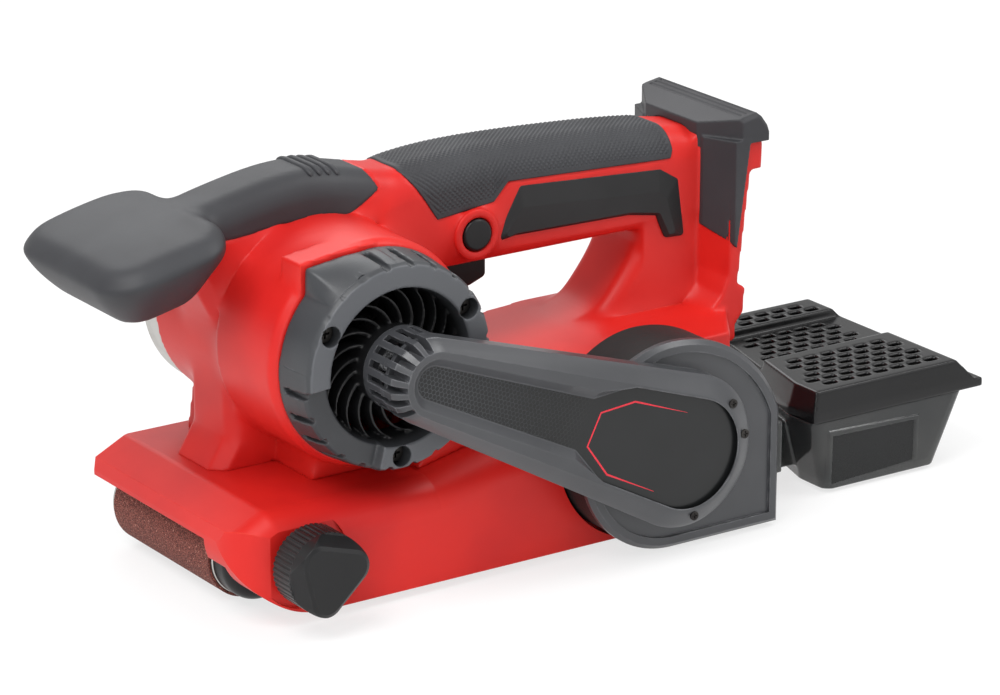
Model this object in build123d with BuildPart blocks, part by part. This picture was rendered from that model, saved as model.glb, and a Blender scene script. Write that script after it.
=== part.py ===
"""Handheld cordless belt sander for 75 x 457 mm sanding belts, as an assembly of separate pieces.

Frame: X runs from the front handle (-) to the battery end (+). Y runs from the drive side (-), called near,
to the open side where the belt is changed (+), called far. Z is up. The origin lies on the sanding face,
on the belt's centre line. Lengths are in millimetres.
"""

import os
from math import acos, atan2, cos, degrees, hypot, pi, radians, sin, sqrt, tan

from build123d import *

os.makedirs("parts", exist_ok=True)

# ----------------------------------------------------------------------------- fits and gaps
running_fit = 0.08  # radial play of a shaft in its bearing
free_gap = 0.3  # gap between curved faces that move past each other
slide_gap = 0.4  # play round a piece that slides

# ----------------------------------------------------------------------------- sanding belt and rollers
belt_width = 75.0
belt_length = 457.0
belt_thickness = 1.0
front_roller_radius = 16.7
drive_roller_radius = 20.7
roller_far = belt_width / 2 + 3.5
roller_near = -belt_width / 2 - 1.0
front_hub_length = 11.5
front_hub_near = roller_near - front_hub_length
front_axis_x = -86.0
axle_radius = 5.0

front_axis_z = front_roller_radius + free_gap + belt_thickness
drive_axis_z = drive_roller_radius + free_gap + belt_thickness
front_line_radius = front_axis_z - belt_thickness / 2
drive_line_radius = drive_axis_z - belt_thickness / 2
straight_length = belt_length - pi * (front_line_radius + drive_line_radius)
axis_drop = drive_axis_z - front_axis_z
axis_distance = straight_length / 2 - axis_drop**2 / straight_length
drive_axis_x = front_axis_x + sqrt(axis_distance**2 - axis_drop**2)

# ----------------------------------------------------------------------------- drive train
gear_module = 1.0
pinion_teeth = 13
gear_teeth = 33
pressure_angle = 20.0
addendum = 0.9 * gear_module
dedendum = 1.2 * gear_module
tooth_play = 0.16 * gear_module
fan_axis_x = drive_axis_x
fan_axis_z = drive_axis_z + gear_module * (pinion_teeth + gear_teeth) / 2

motor_x = -40.8
motor_z = 98.0
motor_shaft_radius = 4.0
fan_shaft_radius = 4.0
roller_shaft_radius = 5.0
timing_pitch = 3.0
motor_pulley_teeth = 18
driven_pulley_teeth = 54
pulley_tooth_depth = 1.1
timing_belt_thickness = 1.6
motor_pulley_radius = timing_pitch * motor_pulley_teeth / (2 * pi)
driven_pulley_radius = timing_pitch * driven_pulley_teeth / (2 * pi)

# ----------------------------------------------------------------------------- stations along Y
far_face = roller_far + 3.0
case_far = roller_near - 4.5
case_wall = 5.0
gear_bay = 12.0
case_outer_wall = 4.0
skirt_near = case_far - 31.0
fan_housing_depth = 24.0
fan_cover_thickness = 4.0
arm_depth = 12.0
cap_seam = -60.0
cap_face = -80.0

gear_far = case_far - case_wall
gear_near = gear_far - gear_bay
case_near = gear_near - case_outer_wall
fan_seam = case_near - fan_housing_depth
arm_back = fan_seam - fan_cover_thickness
arm_face = arm_back - arm_depth


# ----------------------------------------------------------------------------- helpers
def side_plane(y):
    """Plane parallel to XZ at the given Y. Its sketch axes are X and Z, and it faces the near side."""
    return Plane.XZ.offset(-y)


def round_bar(x, z, radius, far, near, mode=Mode.ADD):
    """Cylinder along Y between two stations, added to or cut from the open part."""
    with BuildSketch(side_plane(far)) as disc:
        with Locations((x, z)):
            Circle(radius)
    extrude(disc.sketch, amount=far - near, mode=mode)


def tube(x, z, radius, bore, far, near):
    """Ring along Y between two stations, added to the open part."""
    with BuildSketch(side_plane(far)) as ring:
        with Locations((x, z)):
            Circle(radius)
            Circle(bore, mode=Mode.SUBTRACT)
    extrude(ring.sketch, amount=far - near)


def slab(points, far, near, mode=Mode.ADD, corner=0.0):
    """Polygon in X and Z between two stations along Y, with its corners rounded if asked."""
    with BuildSketch(side_plane(far)) as outline:
        with BuildLine():
            Polyline(*points, close=True)
        make_face()
        if corner:
            fillet(outline.vertices(), corner)
    extrude(outline.sketch, amount=far - near, mode=mode)


def block(x_span, y_span, z_span, mode=Mode.ADD):
    """Box given by its spans along X, Y and Z."""
    with BuildSketch(Plane.XY.offset(z_span[0])) as base:
        with Locations(((x_span[0] + x_span[1]) / 2, (y_span[0] + y_span[1]) / 2)):
            Rectangle(x_span[1] - x_span[0], y_span[1] - y_span[0])
    extrude(base.sketch, amount=z_span[1] - z_span[0], mode=mode)


def polar(x, z, radius, angle):
    """Point at a radius and an angle, in degrees from +X towards +Z, round (x, z)."""
    return (x + radius * cos(radians(angle)), z + radius * sin(radians(angle)))


def loop_face(x1, z1, r1, x2, z2, r2):
    """Sketch face bounded by arcs round two centres and the two straight lines tangent to both."""
    heading = degrees(atan2(z2 - z1, x2 - x1))
    spread = degrees(acos((r1 - r2) / hypot(x2 - x1, z2 - z1)))
    first_top = polar(x1, z1, r1, heading + spread)
    first_low = polar(x1, z1, r1, heading - spread)
    second_top = polar(x2, z2, r2, heading + spread)
    second_low = polar(x2, z2, r2, heading - spread)
    with BuildSketch(mode=Mode.PRIVATE) as loop:
        with BuildLine():
            Line(first_top, second_top)
            ThreePointArc(second_top, polar(x2, z2, r2, heading), second_low)
            Line(second_low, first_low)
            ThreePointArc(first_low, polar(x1, z1, r1, heading + 180), first_top)
        make_face()
    return loop.sketch_local


def loop_slab(first, second, far, near, grow=0.0, mode=Mode.ADD):
    """Solid of a loop_face between two stations. first and second are (x, z, radius)."""
    with BuildSketch(side_plane(far)) as face:
        add(loop_face(first[0], first[1], first[2] + grow, second[0], second[1], second[2] + grow))
    extrude(face.sketch, amount=far - near, mode=mode)


def save(builder, name):
    """Label a finished part and write its STEP file."""
    builder.part.label = name
    export_step(builder.part, f"parts/{name}.step")


def involute_gear(x, z, teeth, first_tooth, far, near):
    """Spur gear along Y with involute flanks, one tooth centred on the angle first_tooth."""
    pitch_radius = gear_module * teeth / 2
    base_radius = pitch_radius * cos(radians(pressure_angle))
    root_radius = pitch_radius - dedendum
    tip_radius = pitch_radius + addendum

    def half_angle(radius):
        """Half the angle that a tooth spans at a radius, in radians."""
        at_pitch = (pi * gear_module / 2 - tooth_play) / 2 / pitch_radius
        roll = radians(pressure_angle)
        lean = acos(min(1.0, base_radius / radius))
        return at_pitch + (tan(roll) - roll) - (tan(lean) - lean)

    flank = [base_radius + (tip_radius - base_radius) * step / 3 for step in range(4)]
    with BuildSketch(side_plane(far)) as wheel:
        with Locations((x, z)):
            Circle(root_radius)
        for tooth in range(teeth):
            centre = first_tooth + 360 * tooth / teeth
            low = [polar(x, z, root_radius - 0.3 * gear_module, centre - degrees(half_angle(base_radius)))]
            high = [polar(x, z, root_radius - 0.3 * gear_module, centre + degrees(half_angle(base_radius)))]
            low += [polar(x, z, r, centre - degrees(half_angle(r))) for r in flank]
            high += [polar(x, z, r, centre + degrees(half_angle(r))) for r in flank]
            with BuildLine():
                Polyline(*low, *reversed(high), close=True)
            make_face()
    extrude(wheel.sketch, amount=far - near)


def toothed_pulley(x, z, teeth, tip_radius, far, near):
    """Timing pulley along Y: a round blank with a tapered groove for each belt tooth."""
    pitch = 360 / teeth
    with BuildSketch(side_plane(far)) as blank:
        with Locations((x, z)):
            Circle(tip_radius)
        for groove in range(teeth):
            centre = groove * pitch
            mouth = 0.30 * pitch
            floor = 0.20 * pitch
            outside = tip_radius + 0.5
            inside = tip_radius - pulley_tooth_depth
            with BuildLine():
                Polyline(
                    polar(x, z, outside, centre - mouth),
                    polar(x, z, inside, centre - floor),
                    polar(x, z, inside, centre + floor),
                    polar(x, z, outside, centre + mouth),
                    close=True,
                )
            make_face(mode=Mode.SUBTRACT)
    extrude(blank.sketch, amount=far - near)


# ----------------------------------------------------------------------------- sanding belt
front_loop = (front_axis_x, front_axis_z, front_axis_z)
drive_loop = (drive_axis_x, drive_axis_z, drive_axis_z)

with BuildPart() as sanding_belt:
    loop_slab(front_loop, drive_loop, belt_width / 2, -belt_width / 2)
    loop_slab(front_loop, drive_loop, belt_width / 2, -belt_width / 2, -belt_thickness, Mode.SUBTRACT)
save(sanding_belt, "sanding_belt")

# ----------------------------------------------------------------------------- front roller on its fork
fork_plate = 2.5
fork_clearance = 0.4
fork_beam_front = -66.0
fork_beam_depth = 6.0
fork_beam_low = 9.0
fork_beam_high = 27.0
fork_eye_radius = 12.0
fork_far = roller_far + fork_clearance + fork_plate
fork_near = front_hub_near - fork_clearance - fork_plate
stem_radius = 5.0
stem_rear = -20.0
release_travel = 6.0
fork_beam_rear = fork_beam_front + fork_beam_depth

with BuildPart() as front_roller:
    tube(front_axis_x, front_axis_z, front_roller_radius, axle_radius + running_fit, roller_far, roller_near)
    chamfer(front_roller.edges().filter_by(GeomType.CIRCLE).group_by(SortBy.RADIUS)[-1], 0.6)
save(front_roller, "front_roller")

with BuildPart() as front_roller_hub:
    hub_radius = front_roller_radius - 0.3
    tube(front_axis_x, front_axis_z, hub_radius, axle_radius + running_fit, roller_near, front_hub_near)
    fillet(front_roller_hub.faces().sort_by(Axis.Y)[0].outer_wire().edges(), 5.0)
save(front_roller_hub, "front_roller_hub")

with BuildPart() as front_axle:
    round_bar(front_axis_x, front_axis_z, axle_radius, fork_far, fork_near)
    chamfer(front_axle.edges().filter_by(GeomType.CIRCLE), 0.5)
save(front_axle, "front_axle")

with BuildPart() as roller_fork:
    beam = [
        (fork_beam_front, fork_beam_low),
        (fork_beam_rear, fork_beam_low),
        (fork_beam_rear, fork_beam_high),
        (fork_beam_front, fork_beam_high),
    ]
    slab(beam, fork_far, fork_near)
    arm_outline = (fork_beam_rear - fork_eye_radius / 2, front_axis_z, fork_eye_radius / 2)
    eye = (front_axis_x, front_axis_z, fork_eye_radius)
    loop_slab(eye, arm_outline, fork_far, fork_far - fork_plate)
    loop_slab(eye, arm_outline, fork_near + fork_plate, fork_near)
    round_bar(front_axis_x, front_axis_z, axle_radius, fork_far, fork_near, Mode.SUBTRACT)
    with BuildSketch(Plane.YZ.offset(fork_beam_rear)) as stem_section:
        with Locations((0, front_axis_z)):
            Circle(stem_radius)
    extrude(stem_section.sketch, amount=stem_rear - fork_beam_rear)
save(roller_fork, "roller_fork")

# ----------------------------------------------------------------------------- belt frame, platen and pad
frame_front = -50.0
frame_rear = 54.0
frame_low = 5.2
frame_high = 31.0
frame_far = belt_width / 2 + 0.5
platen_front = -62.0
platen_pad_thickness = 2.2
spring_bore_radius = 9.0
spring_rear = -26.0
lever_x = -24.0
lever_z = 20.0
lever_length = 42.0
lever_height = 15.0
lever_thickness = 4.0
lever_pin_radius = 2.5
lever_y = frame_far - 4.0

with BuildPart() as belt_frame:
    frame_corners = [
        (frame_front, frame_low),
        (frame_rear, frame_low),
        (frame_rear, frame_high),
        (frame_front, frame_high),
    ]
    slab(frame_corners, frame_far, case_far)
    fillet(belt_frame.edges().filter_by(Axis.Y), 3.0)
    with BuildSketch(Plane.YZ.offset(frame_front)) as stem_bore:
        with Locations((0, front_axis_z)):
            Circle(stem_radius + slide_gap)
    extrude(stem_bore.sketch, amount=stem_rear + release_travel + 2 - frame_front, mode=Mode.SUBTRACT)
    with BuildSketch(Plane.YZ.offset(frame_front)) as spring_bore:
        with Locations((0, front_axis_z)):
            Circle(spring_bore_radius)
    extrude(spring_bore.sketch, amount=spring_rear - frame_front, mode=Mode.SUBTRACT)
    lever_pocket_low = lever_z - lever_height / 2 - 1.0
    lever_pocket_high = lever_z + lever_height / 2 + 1.0
    block(
        (lever_x - 8, lever_x + lever_length),
        (frame_far - 8.5, frame_far + 1),
        (lever_pocket_low, lever_pocket_high),
        Mode.SUBTRACT,
    )
    with BuildSketch(Plane.XY.offset(lever_pocket_low - 5)) as pin_hole:
        with Locations((lever_x, lever_y)):
            Circle(lever_pin_radius)
    extrude(pin_hole.sketch, amount=lever_pocket_high - lever_pocket_low + 10, mode=Mode.SUBTRACT)
save(belt_frame, "belt_frame")

with BuildPart() as platen:
    platen_low = belt_thickness + platen_pad_thickness
    block((platen_front, frame_rear), (-belt_width / 2, frame_far), (platen_low, frame_low))
    fillet(platen.edges().filter_by(Axis.Y).group_by(Axis.Z)[0], 1.2)
save(platen, "platen")

with BuildPart() as platen_pad:
    block((platen_front + 2, frame_rear - 2), (-belt_width / 2, belt_width / 2), (belt_thickness, platen_low))
save(platen_pad, "platen_pad")

with BuildPart() as tension_spring:
    spring_wire = 1.6
    spring_coil_radius = stem_radius + free_gap + spring_wire / 2
    spring_free = spring_rear - (fork_beam_rear + free_gap)
    for turn in range(7):
        spring_x = fork_beam_rear + free_gap + spring_wire / 2 + turn * (spring_free - spring_wire) / 6
        with BuildSketch(Plane.YZ.offset(spring_x - spring_wire / 2)) as coil:
            with Locations((0, front_axis_z)):
                Circle(spring_coil_radius + spring_wire / 2)
                Circle(spring_coil_radius - spring_wire / 2, mode=Mode.SUBTRACT)
        extrude(coil.sketch, amount=spring_wire)
save(tension_spring, "tension_spring")

with BuildPart() as tension_lever:
    with BuildSketch(Plane.XY.offset(lever_z - lever_height / 2)) as lever_plan:
        with Locations((lever_x, lever_y)):
            Circle(lever_thickness)
        with Locations((lever_x + lever_length / 2, lever_y)):
            Rectangle(lever_length - 4, lever_thickness)
        with Locations((lever_x + lever_length - 6, lever_y)):
            Circle(lever_thickness * 0.7)
        with Locations((lever_x, lever_y)):
            Circle(lever_pin_radius + running_fit, mode=Mode.SUBTRACT)
    extrude(lever_plan.sketch, amount=lever_height)
save(tension_lever, "tension_lever")

with BuildPart() as lever_pin:
    with BuildSketch(Plane.XY.offset(lever_pocket_low - 5)) as pin_section:
        with Locations((lever_x, lever_y)):
            Circle(lever_pin_radius)
    extrude(pin_section.sketch, amount=lever_pocket_high - lever_pocket_low + 10)
save(lever_pin, "lever_pin")

# ----------------------------------------------------------------------------- drive roller and its gear
bearing_width = 5.0
roller_bearing_radius = 11.0
fan_bearing_radius = 8.0
gear_face_gap = 1.5

with BuildPart() as drive_roller:
    tube(drive_axis_x, drive_axis_z, drive_roller_radius, roller_shaft_radius, roller_far, roller_near)
    chamfer(drive_roller.edges().filter_by(GeomType.CIRCLE).group_by(SortBy.RADIUS)[-1], 0.6)
save(drive_roller, "drive_roller")

with BuildPart() as roller_shaft:
    round_bar(drive_axis_x, drive_axis_z, roller_shaft_radius, roller_far, case_near)
save(roller_shaft, "roller_shaft")

with BuildPart() as roller_gear:
    gap_at_top = 90 + 180 / gear_teeth
    gear_span = (gear_far - gear_face_gap, gear_near + gear_face_gap)
    involute_gear(drive_axis_x, drive_axis_z, gear_teeth, gap_at_top, *gear_span)
    round_bar(drive_axis_x, drive_axis_z, roller_shaft_radius, *gear_span, Mode.SUBTRACT)
save(roller_gear, "roller_gear")

with BuildPart() as pinion:
    pinion_span = (gear_far - gear_face_gap / 2, gear_near + gear_face_gap / 2)
    involute_gear(fan_axis_x, fan_axis_z, pinion_teeth, -90, *pinion_span)
    round_bar(fan_axis_x, fan_axis_z, fan_shaft_radius, *pinion_span, Mode.SUBTRACT)
save(pinion, "pinion")


def bearing(x, z, outside, shaft, far, near):
    """Shielded ball bearing: a ring whose faces are recessed between the inner and the outer race."""
    tube(x, z, outside, shaft + running_fit, far, near)
    shield_out = outside - 1.8
    shield_in = shaft + 1.8
    for face, sign in ((far, -1), (near, 1)):
        with BuildSketch(side_plane(face)) as shield:
            with Locations((x, z)):
                Circle(shield_out)
                Circle(shield_in, mode=Mode.SUBTRACT)
        extrude(shield.sketch, amount=-0.5 * sign, mode=Mode.SUBTRACT)


with BuildPart() as roller_bearings:
    for seat_far in (case_far, gear_near):
        seat_near = max(seat_far - bearing_width, case_near)
        bearing(drive_axis_x, drive_axis_z, roller_bearing_radius, roller_shaft_radius, seat_far, seat_near)
save(roller_bearings, "roller_bearings")

# ----------------------------------------------------------------------------- fan shaft, impeller and driven pulley
impeller_radius = 36.0
impeller_hub_radius = 9.0
impeller_far = case_near - 4.0
impeller_near = fan_seam + 3.0
impeller_plate = 1.6
blade_count = 12
blade_thickness = 1.6
pulley_far = arm_back - 3.0
pulley_near = arm_face + 2.8

with BuildPart() as fan_shaft:
    round_bar(fan_axis_x, fan_axis_z, fan_shaft_radius, case_far, pulley_near)
save(fan_shaft, "fan_shaft")

with BuildPart() as fan_bearings:
    bearing(fan_axis_x, fan_axis_z, fan_bearing_radius, fan_shaft_radius, case_far, case_far - bearing_width)
    cover_bearing_far = fan_seam + 1.0
    bearing(fan_axis_x, fan_axis_z, fan_bearing_radius, fan_shaft_radius, cover_bearing_far, arm_back + 0.5)
save(fan_bearings, "fan_bearings")


def curved_blade(x, z, inner, outer, angle, sweep, thickness, far, near):
    """Blade from an inner to an outer radius that leans back by the sweep angle along an arc."""
    half = degrees(thickness / 2 / outer)
    root = degrees(thickness / 2 / inner)
    middle = (inner + outer) / 2
    belly = degrees(thickness / 2 / middle)
    lag = sweep * 0.36
    with BuildSketch(side_plane(far)) as section:
        with BuildLine():
            front = ThreePointArc(
                polar(x, z, inner, angle - root),
                polar(x, z, middle, angle + lag - belly),
                polar(x, z, outer, angle + sweep - half),
            )
            back = ThreePointArc(
                polar(x, z, inner, angle + root),
                polar(x, z, middle, angle + lag + belly),
                polar(x, z, outer, angle + sweep + half),
            )
            Line(front @ 0, back @ 0)
            Line(front @ 1, back @ 1)
        make_face()
    extrude(section.sketch, amount=far - near)


with BuildPart() as impeller:
    round_bar(fan_axis_x, fan_axis_z, impeller_radius, impeller_far, impeller_far - impeller_plate)
    round_bar(fan_axis_x, fan_axis_z, impeller_hub_radius, impeller_far, impeller_near)
    for blade in range(blade_count):
        blade_far = impeller_far - impeller_plate / 2
        blade_angle = 360 * blade / blade_count
        hub_edge = impeller_hub_radius - 1.5
        tip_edge = impeller_radius - 0.3
        curved_blade(
            fan_axis_x, fan_axis_z, hub_edge, tip_edge, blade_angle, 50, blade_thickness, blade_far, impeller_near
        )
    round_bar(fan_axis_x, fan_axis_z, fan_shaft_radius, impeller_far, impeller_near, Mode.SUBTRACT)
save(impeller, "impeller")

with BuildPart() as driven_pulley:
    toothed_pulley(fan_axis_x, fan_axis_z, driven_pulley_teeth, driven_pulley_radius, pulley_far, pulley_near)
    with BuildSketch(side_plane(pulley_far)) as lightening:
        with Locations((fan_axis_x, fan_axis_z)):
            with PolarLocations(driven_pulley_radius * 0.58, 6):
                Circle(4.5)
    extrude(lightening.sketch, amount=pulley_far - pulley_near, mode=Mode.SUBTRACT)
    round_bar(fan_axis_x, fan_axis_z, fan_shaft_radius, pulley_far, pulley_near, Mode.SUBTRACT)
save(driven_pulley, "driven_pulley")

# ----------------------------------------------------------------------------- fan housing and its cover
arm_front_radius = 17.5
arm_rear_radius = 32.0
arm_front = (motor_x, motor_z, arm_front_radius)
arm_rear = (fan_axis_x, fan_axis_z, arm_rear_radius)
volute_radius = 43.7
volute_rear = 53.7
volute_step = 5.0
volute_low = 3.5
fan_wall = 3.0
fan_back_wall = 2.5
fan_rim = 5.0
fan_recess = 1.2
outlet_x = fan_axis_x + volute_rear
outlet_length = 8.0
outlet_low = 20.0
outlet_high = 38.0
outlet_near = arm_back + 12.0
outlet_far = outlet_near + 16.0
dust_port_x = 118.0
dust_port_z = 20.0
dust_port_radius = 8.0


def volute_sketch(y, inset=0.0):
    """Outline of the fan housing: a round drum that widens tangentially into a square-cornered outlet side."""
    with BuildSketch(side_plane(y)) as outline:
        with BuildLine():
            top = (fan_axis_x, fan_axis_z + volute_radius)
            bottom = (fan_axis_x, fan_axis_z - volute_radius)
            drum_arc = ThreePointArc(bottom, (fan_axis_x - volute_radius, fan_axis_z), top)
            flare = TangentArc(top, (fan_axis_x + volute_rear, fan_axis_z + volute_step), tangent=drum_arc % 1)
            corner = (fan_axis_x + volute_rear, fan_axis_z - volute_radius)
            Line(flare @ 1, corner)
            Line(corner, bottom)
        make_face()
        square_corner = outline.vertices().sort_by(Axis.X).group_by(Axis.X)[-1].sort_by(Axis.Z)[0]
        fillet(square_corner, volute_low)
        if inset:
            offset(amount=-inset, kind=Kind.INTERSECTION)
    return outline.sketch


with BuildPart() as fan_housing:
    extrude(volute_sketch(case_near, 1.0), amount=fan_housing_depth)
    chamber = volute_sketch(case_near - fan_back_wall, 1.0 + fan_wall)
    extrude(chamber, amount=fan_housing_depth - fan_back_wall, mode=Mode.SUBTRACT)
    block((outlet_x - 3, outlet_x + outlet_length), (outlet_near, outlet_far), (outlet_low, outlet_high))
    block(
        (outlet_x - 8, outlet_x + outlet_length),
        (outlet_near + 1.6, outlet_far - 1.6),
        (outlet_low + 1.6, outlet_high - 1.6),
        Mode.SUBTRACT,
    )
    round_bar(fan_axis_x, fan_axis_z, fan_shaft_radius + 1.0, case_near, case_near - 3, Mode.SUBTRACT)
    round_bar(dust_port_x, dust_port_z, dust_port_radius, case_near, case_near - 3, Mode.SUBTRACT)
save(fan_housing, "fan_housing")


def fan_cover_recess():
    """Shallow recess inside the rim of the fan cover, which leaves a pad of full height under the arm."""
    with BuildPart() as body:
        extrude(volute_sketch(arm_back + fan_recess, fan_rim), amount=fan_recess)
        loop_slab(arm_front, arm_rear, arm_back + fan_recess, arm_back, 0, Mode.SUBTRACT)
    return body.part


with BuildPart() as fan_cover:
    extrude(volute_sketch(fan_seam), amount=fan_cover_thickness)
    chamfer(fan_cover.faces().sort_by(Axis.Y)[0].outer_wire().edges(), 1.8)
    add(fan_cover_recess(), mode=Mode.SUBTRACT)
    round_bar(fan_axis_x, fan_axis_z, fan_bearing_radius + 2.5, cover_bearing_far, fan_seam)
    round_bar(fan_axis_x, fan_axis_z, fan_bearing_radius, cover_bearing_far, arm_back, Mode.SUBTRACT)
save(fan_cover, "fan_cover")

# ----------------------------------------------------------------------------- drive belt and its cover
arm_wall = 2.0
arm_plate = 1.8
cap_hub_gap = 1.0
timing_far = pulley_far - 0.6
timing_near = pulley_near + 0.6
arm_slot_count = 7
arm_slot_pitch = 20.0
arm_slot_first = 100.0
arm_slot_width = 3.0
arm_slot_depth = 2.0
arm_bevel = 3.0
cover_screw_angles = (40, 7, -86)
cover_screw_circle = 26.8
cover_screw_radius = 1.9
cover_screw_depth = 1.0


def arm_slots(far, near):
    """Row of slots across the round front end of the arm, between two stations."""
    row = arm_slot_pitch * arm_slot_count
    with BuildPart() as body:
        with BuildSketch(side_plane(far)) as slots:
            with Locations((motor_x, motor_z)):
                with PolarLocations(arm_front_radius, arm_slot_count, arm_slot_first, row):
                    Rectangle(2 * arm_slot_depth, arm_slot_width)
        extrude(slots.sketch, amount=far - near)
    return body.part


with BuildPart() as timing_belt:
    small = (motor_x, motor_z, motor_pulley_radius + free_gap)
    large = (fan_axis_x, fan_axis_z, driven_pulley_radius + free_gap)
    loop_slab(small, large, timing_far, timing_near, timing_belt_thickness)
    loop_slab(small, large, timing_far, timing_near, 0, Mode.SUBTRACT)
save(timing_belt, "timing_belt")

with BuildPart() as motor_pulley:
    toothed_pulley(motor_x, motor_z, motor_pulley_teeth, motor_pulley_radius, pulley_far, pulley_near)
    round_bar(motor_x, motor_z, motor_shaft_radius, pulley_far, pulley_near, Mode.SUBTRACT)
save(motor_pulley, "motor_pulley")

with BuildPart() as arm_back_plate:
    hub_far = cap_face + cap_hub_gap
    loop_slab(arm_front, arm_rear, arm_back, arm_back - arm_plate)
    collar_radius = arm_front_radius - 0.5
    tube(motor_x, motor_z, collar_radius, collar_radius - arm_wall, hub_far, arm_back)
    with BuildSketch(side_plane(hub_far - 3.0)) as hub_slots:
        with Locations((motor_x, motor_z)):
            with PolarLocations(collar_radius, 18, arm_slot_first):
                Rectangle(2 * arm_wall + 1, arm_slot_width)
    extrude(hub_slots.sketch, amount=hub_far - 3.0 - arm_back, mode=Mode.SUBTRACT)
    add(arm_slots(arm_back + 1, arm_back - arm_plate), mode=Mode.SUBTRACT)
    round_bar(motor_x, motor_z, motor_pulley_radius + 2.0, arm_back, arm_back - arm_plate, Mode.SUBTRACT)
    round_bar(fan_axis_x, fan_axis_z, fan_shaft_radius + 4.0, arm_back, arm_back - arm_plate, Mode.SUBTRACT)
save(arm_back_plate, "arm_back_plate")

with BuildPart() as belt_cover:
    cover_far = arm_back - arm_plate
    loop_slab(arm_front, arm_rear, cover_far, arm_face)
    chamfer(belt_cover.faces().sort_by(Axis.Y)[0].outer_wire().edges(), arm_bevel)
    loop_slab(arm_front, arm_rear, cover_far, arm_face + arm_wall, -arm_wall - 1.0, Mode.SUBTRACT)
    panel_front = (motor_x, motor_z, arm_front_radius - 4.5)
    panel_rear = (fan_axis_x, fan_axis_z, arm_rear_radius - 9.0)
    loop_slab(panel_front, panel_rear, arm_face + 0.8, arm_face, 0, Mode.SUBTRACT)
    add(arm_slots(cover_far, arm_face + arm_bevel), mode=Mode.SUBTRACT)
    for angle in cover_screw_angles:
        screw = polar(fan_axis_x, fan_axis_z, cover_screw_circle, angle)
        round_bar(*screw, cover_screw_radius + running_fit, arm_face + cover_screw_depth, arm_face - 1, Mode.SUBTRACT)
save(belt_cover, "belt_cover")

# ----------------------------------------------------------------------------- shoe: the base over the belt
deck_z = 45.0
deck_rear_z = 60.0
lip_low = (-109.0, 32.6)
lip_nose = (-108.2, 38.0)
lip_high = (-94.0, 45.0)
shoe_low = 3.0
shoe_rear = 134.0
skirt_front_x = -72.0
tunnel_gap_front = 3.5
tunnel_gap_rear = 3.0
bay_near = front_hub_near - 6.0
bay_rear = fork_beam_rear + release_travel + 4.0
hump_x = 90.0
hump_z = 20.0
hump_radius = 45.0
hump_far_start = 26.0
knob_x = -82.0
knob_z = 25.5
knob_back = skirt_near - 3.0
knob_front = knob_back - 19.0
knob_drum_depth = 12.0
knob_spread = 4.0
knob_inset = 0.4
knob_radius = 16.3
knob_recess = 2.0
knob_lobes = (13, 133, 253)
knob_lobe_radius = 6.5
screw_radius = 3.0
gear_clearance = 1.2
gear_boss_radius = 18.0
deck_round = 13.0
corner_round = 22.0

deck_line = [lip_low, lip_nose, lip_high, (-20.0, deck_z), (12.0, 52.0), (60.0, deck_rear_z), (shoe_rear, deck_rear_z)]
skirt_front = (skirt_front_x, shoe_low)
skirt_bow = (-98.0, 12.0)

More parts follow.
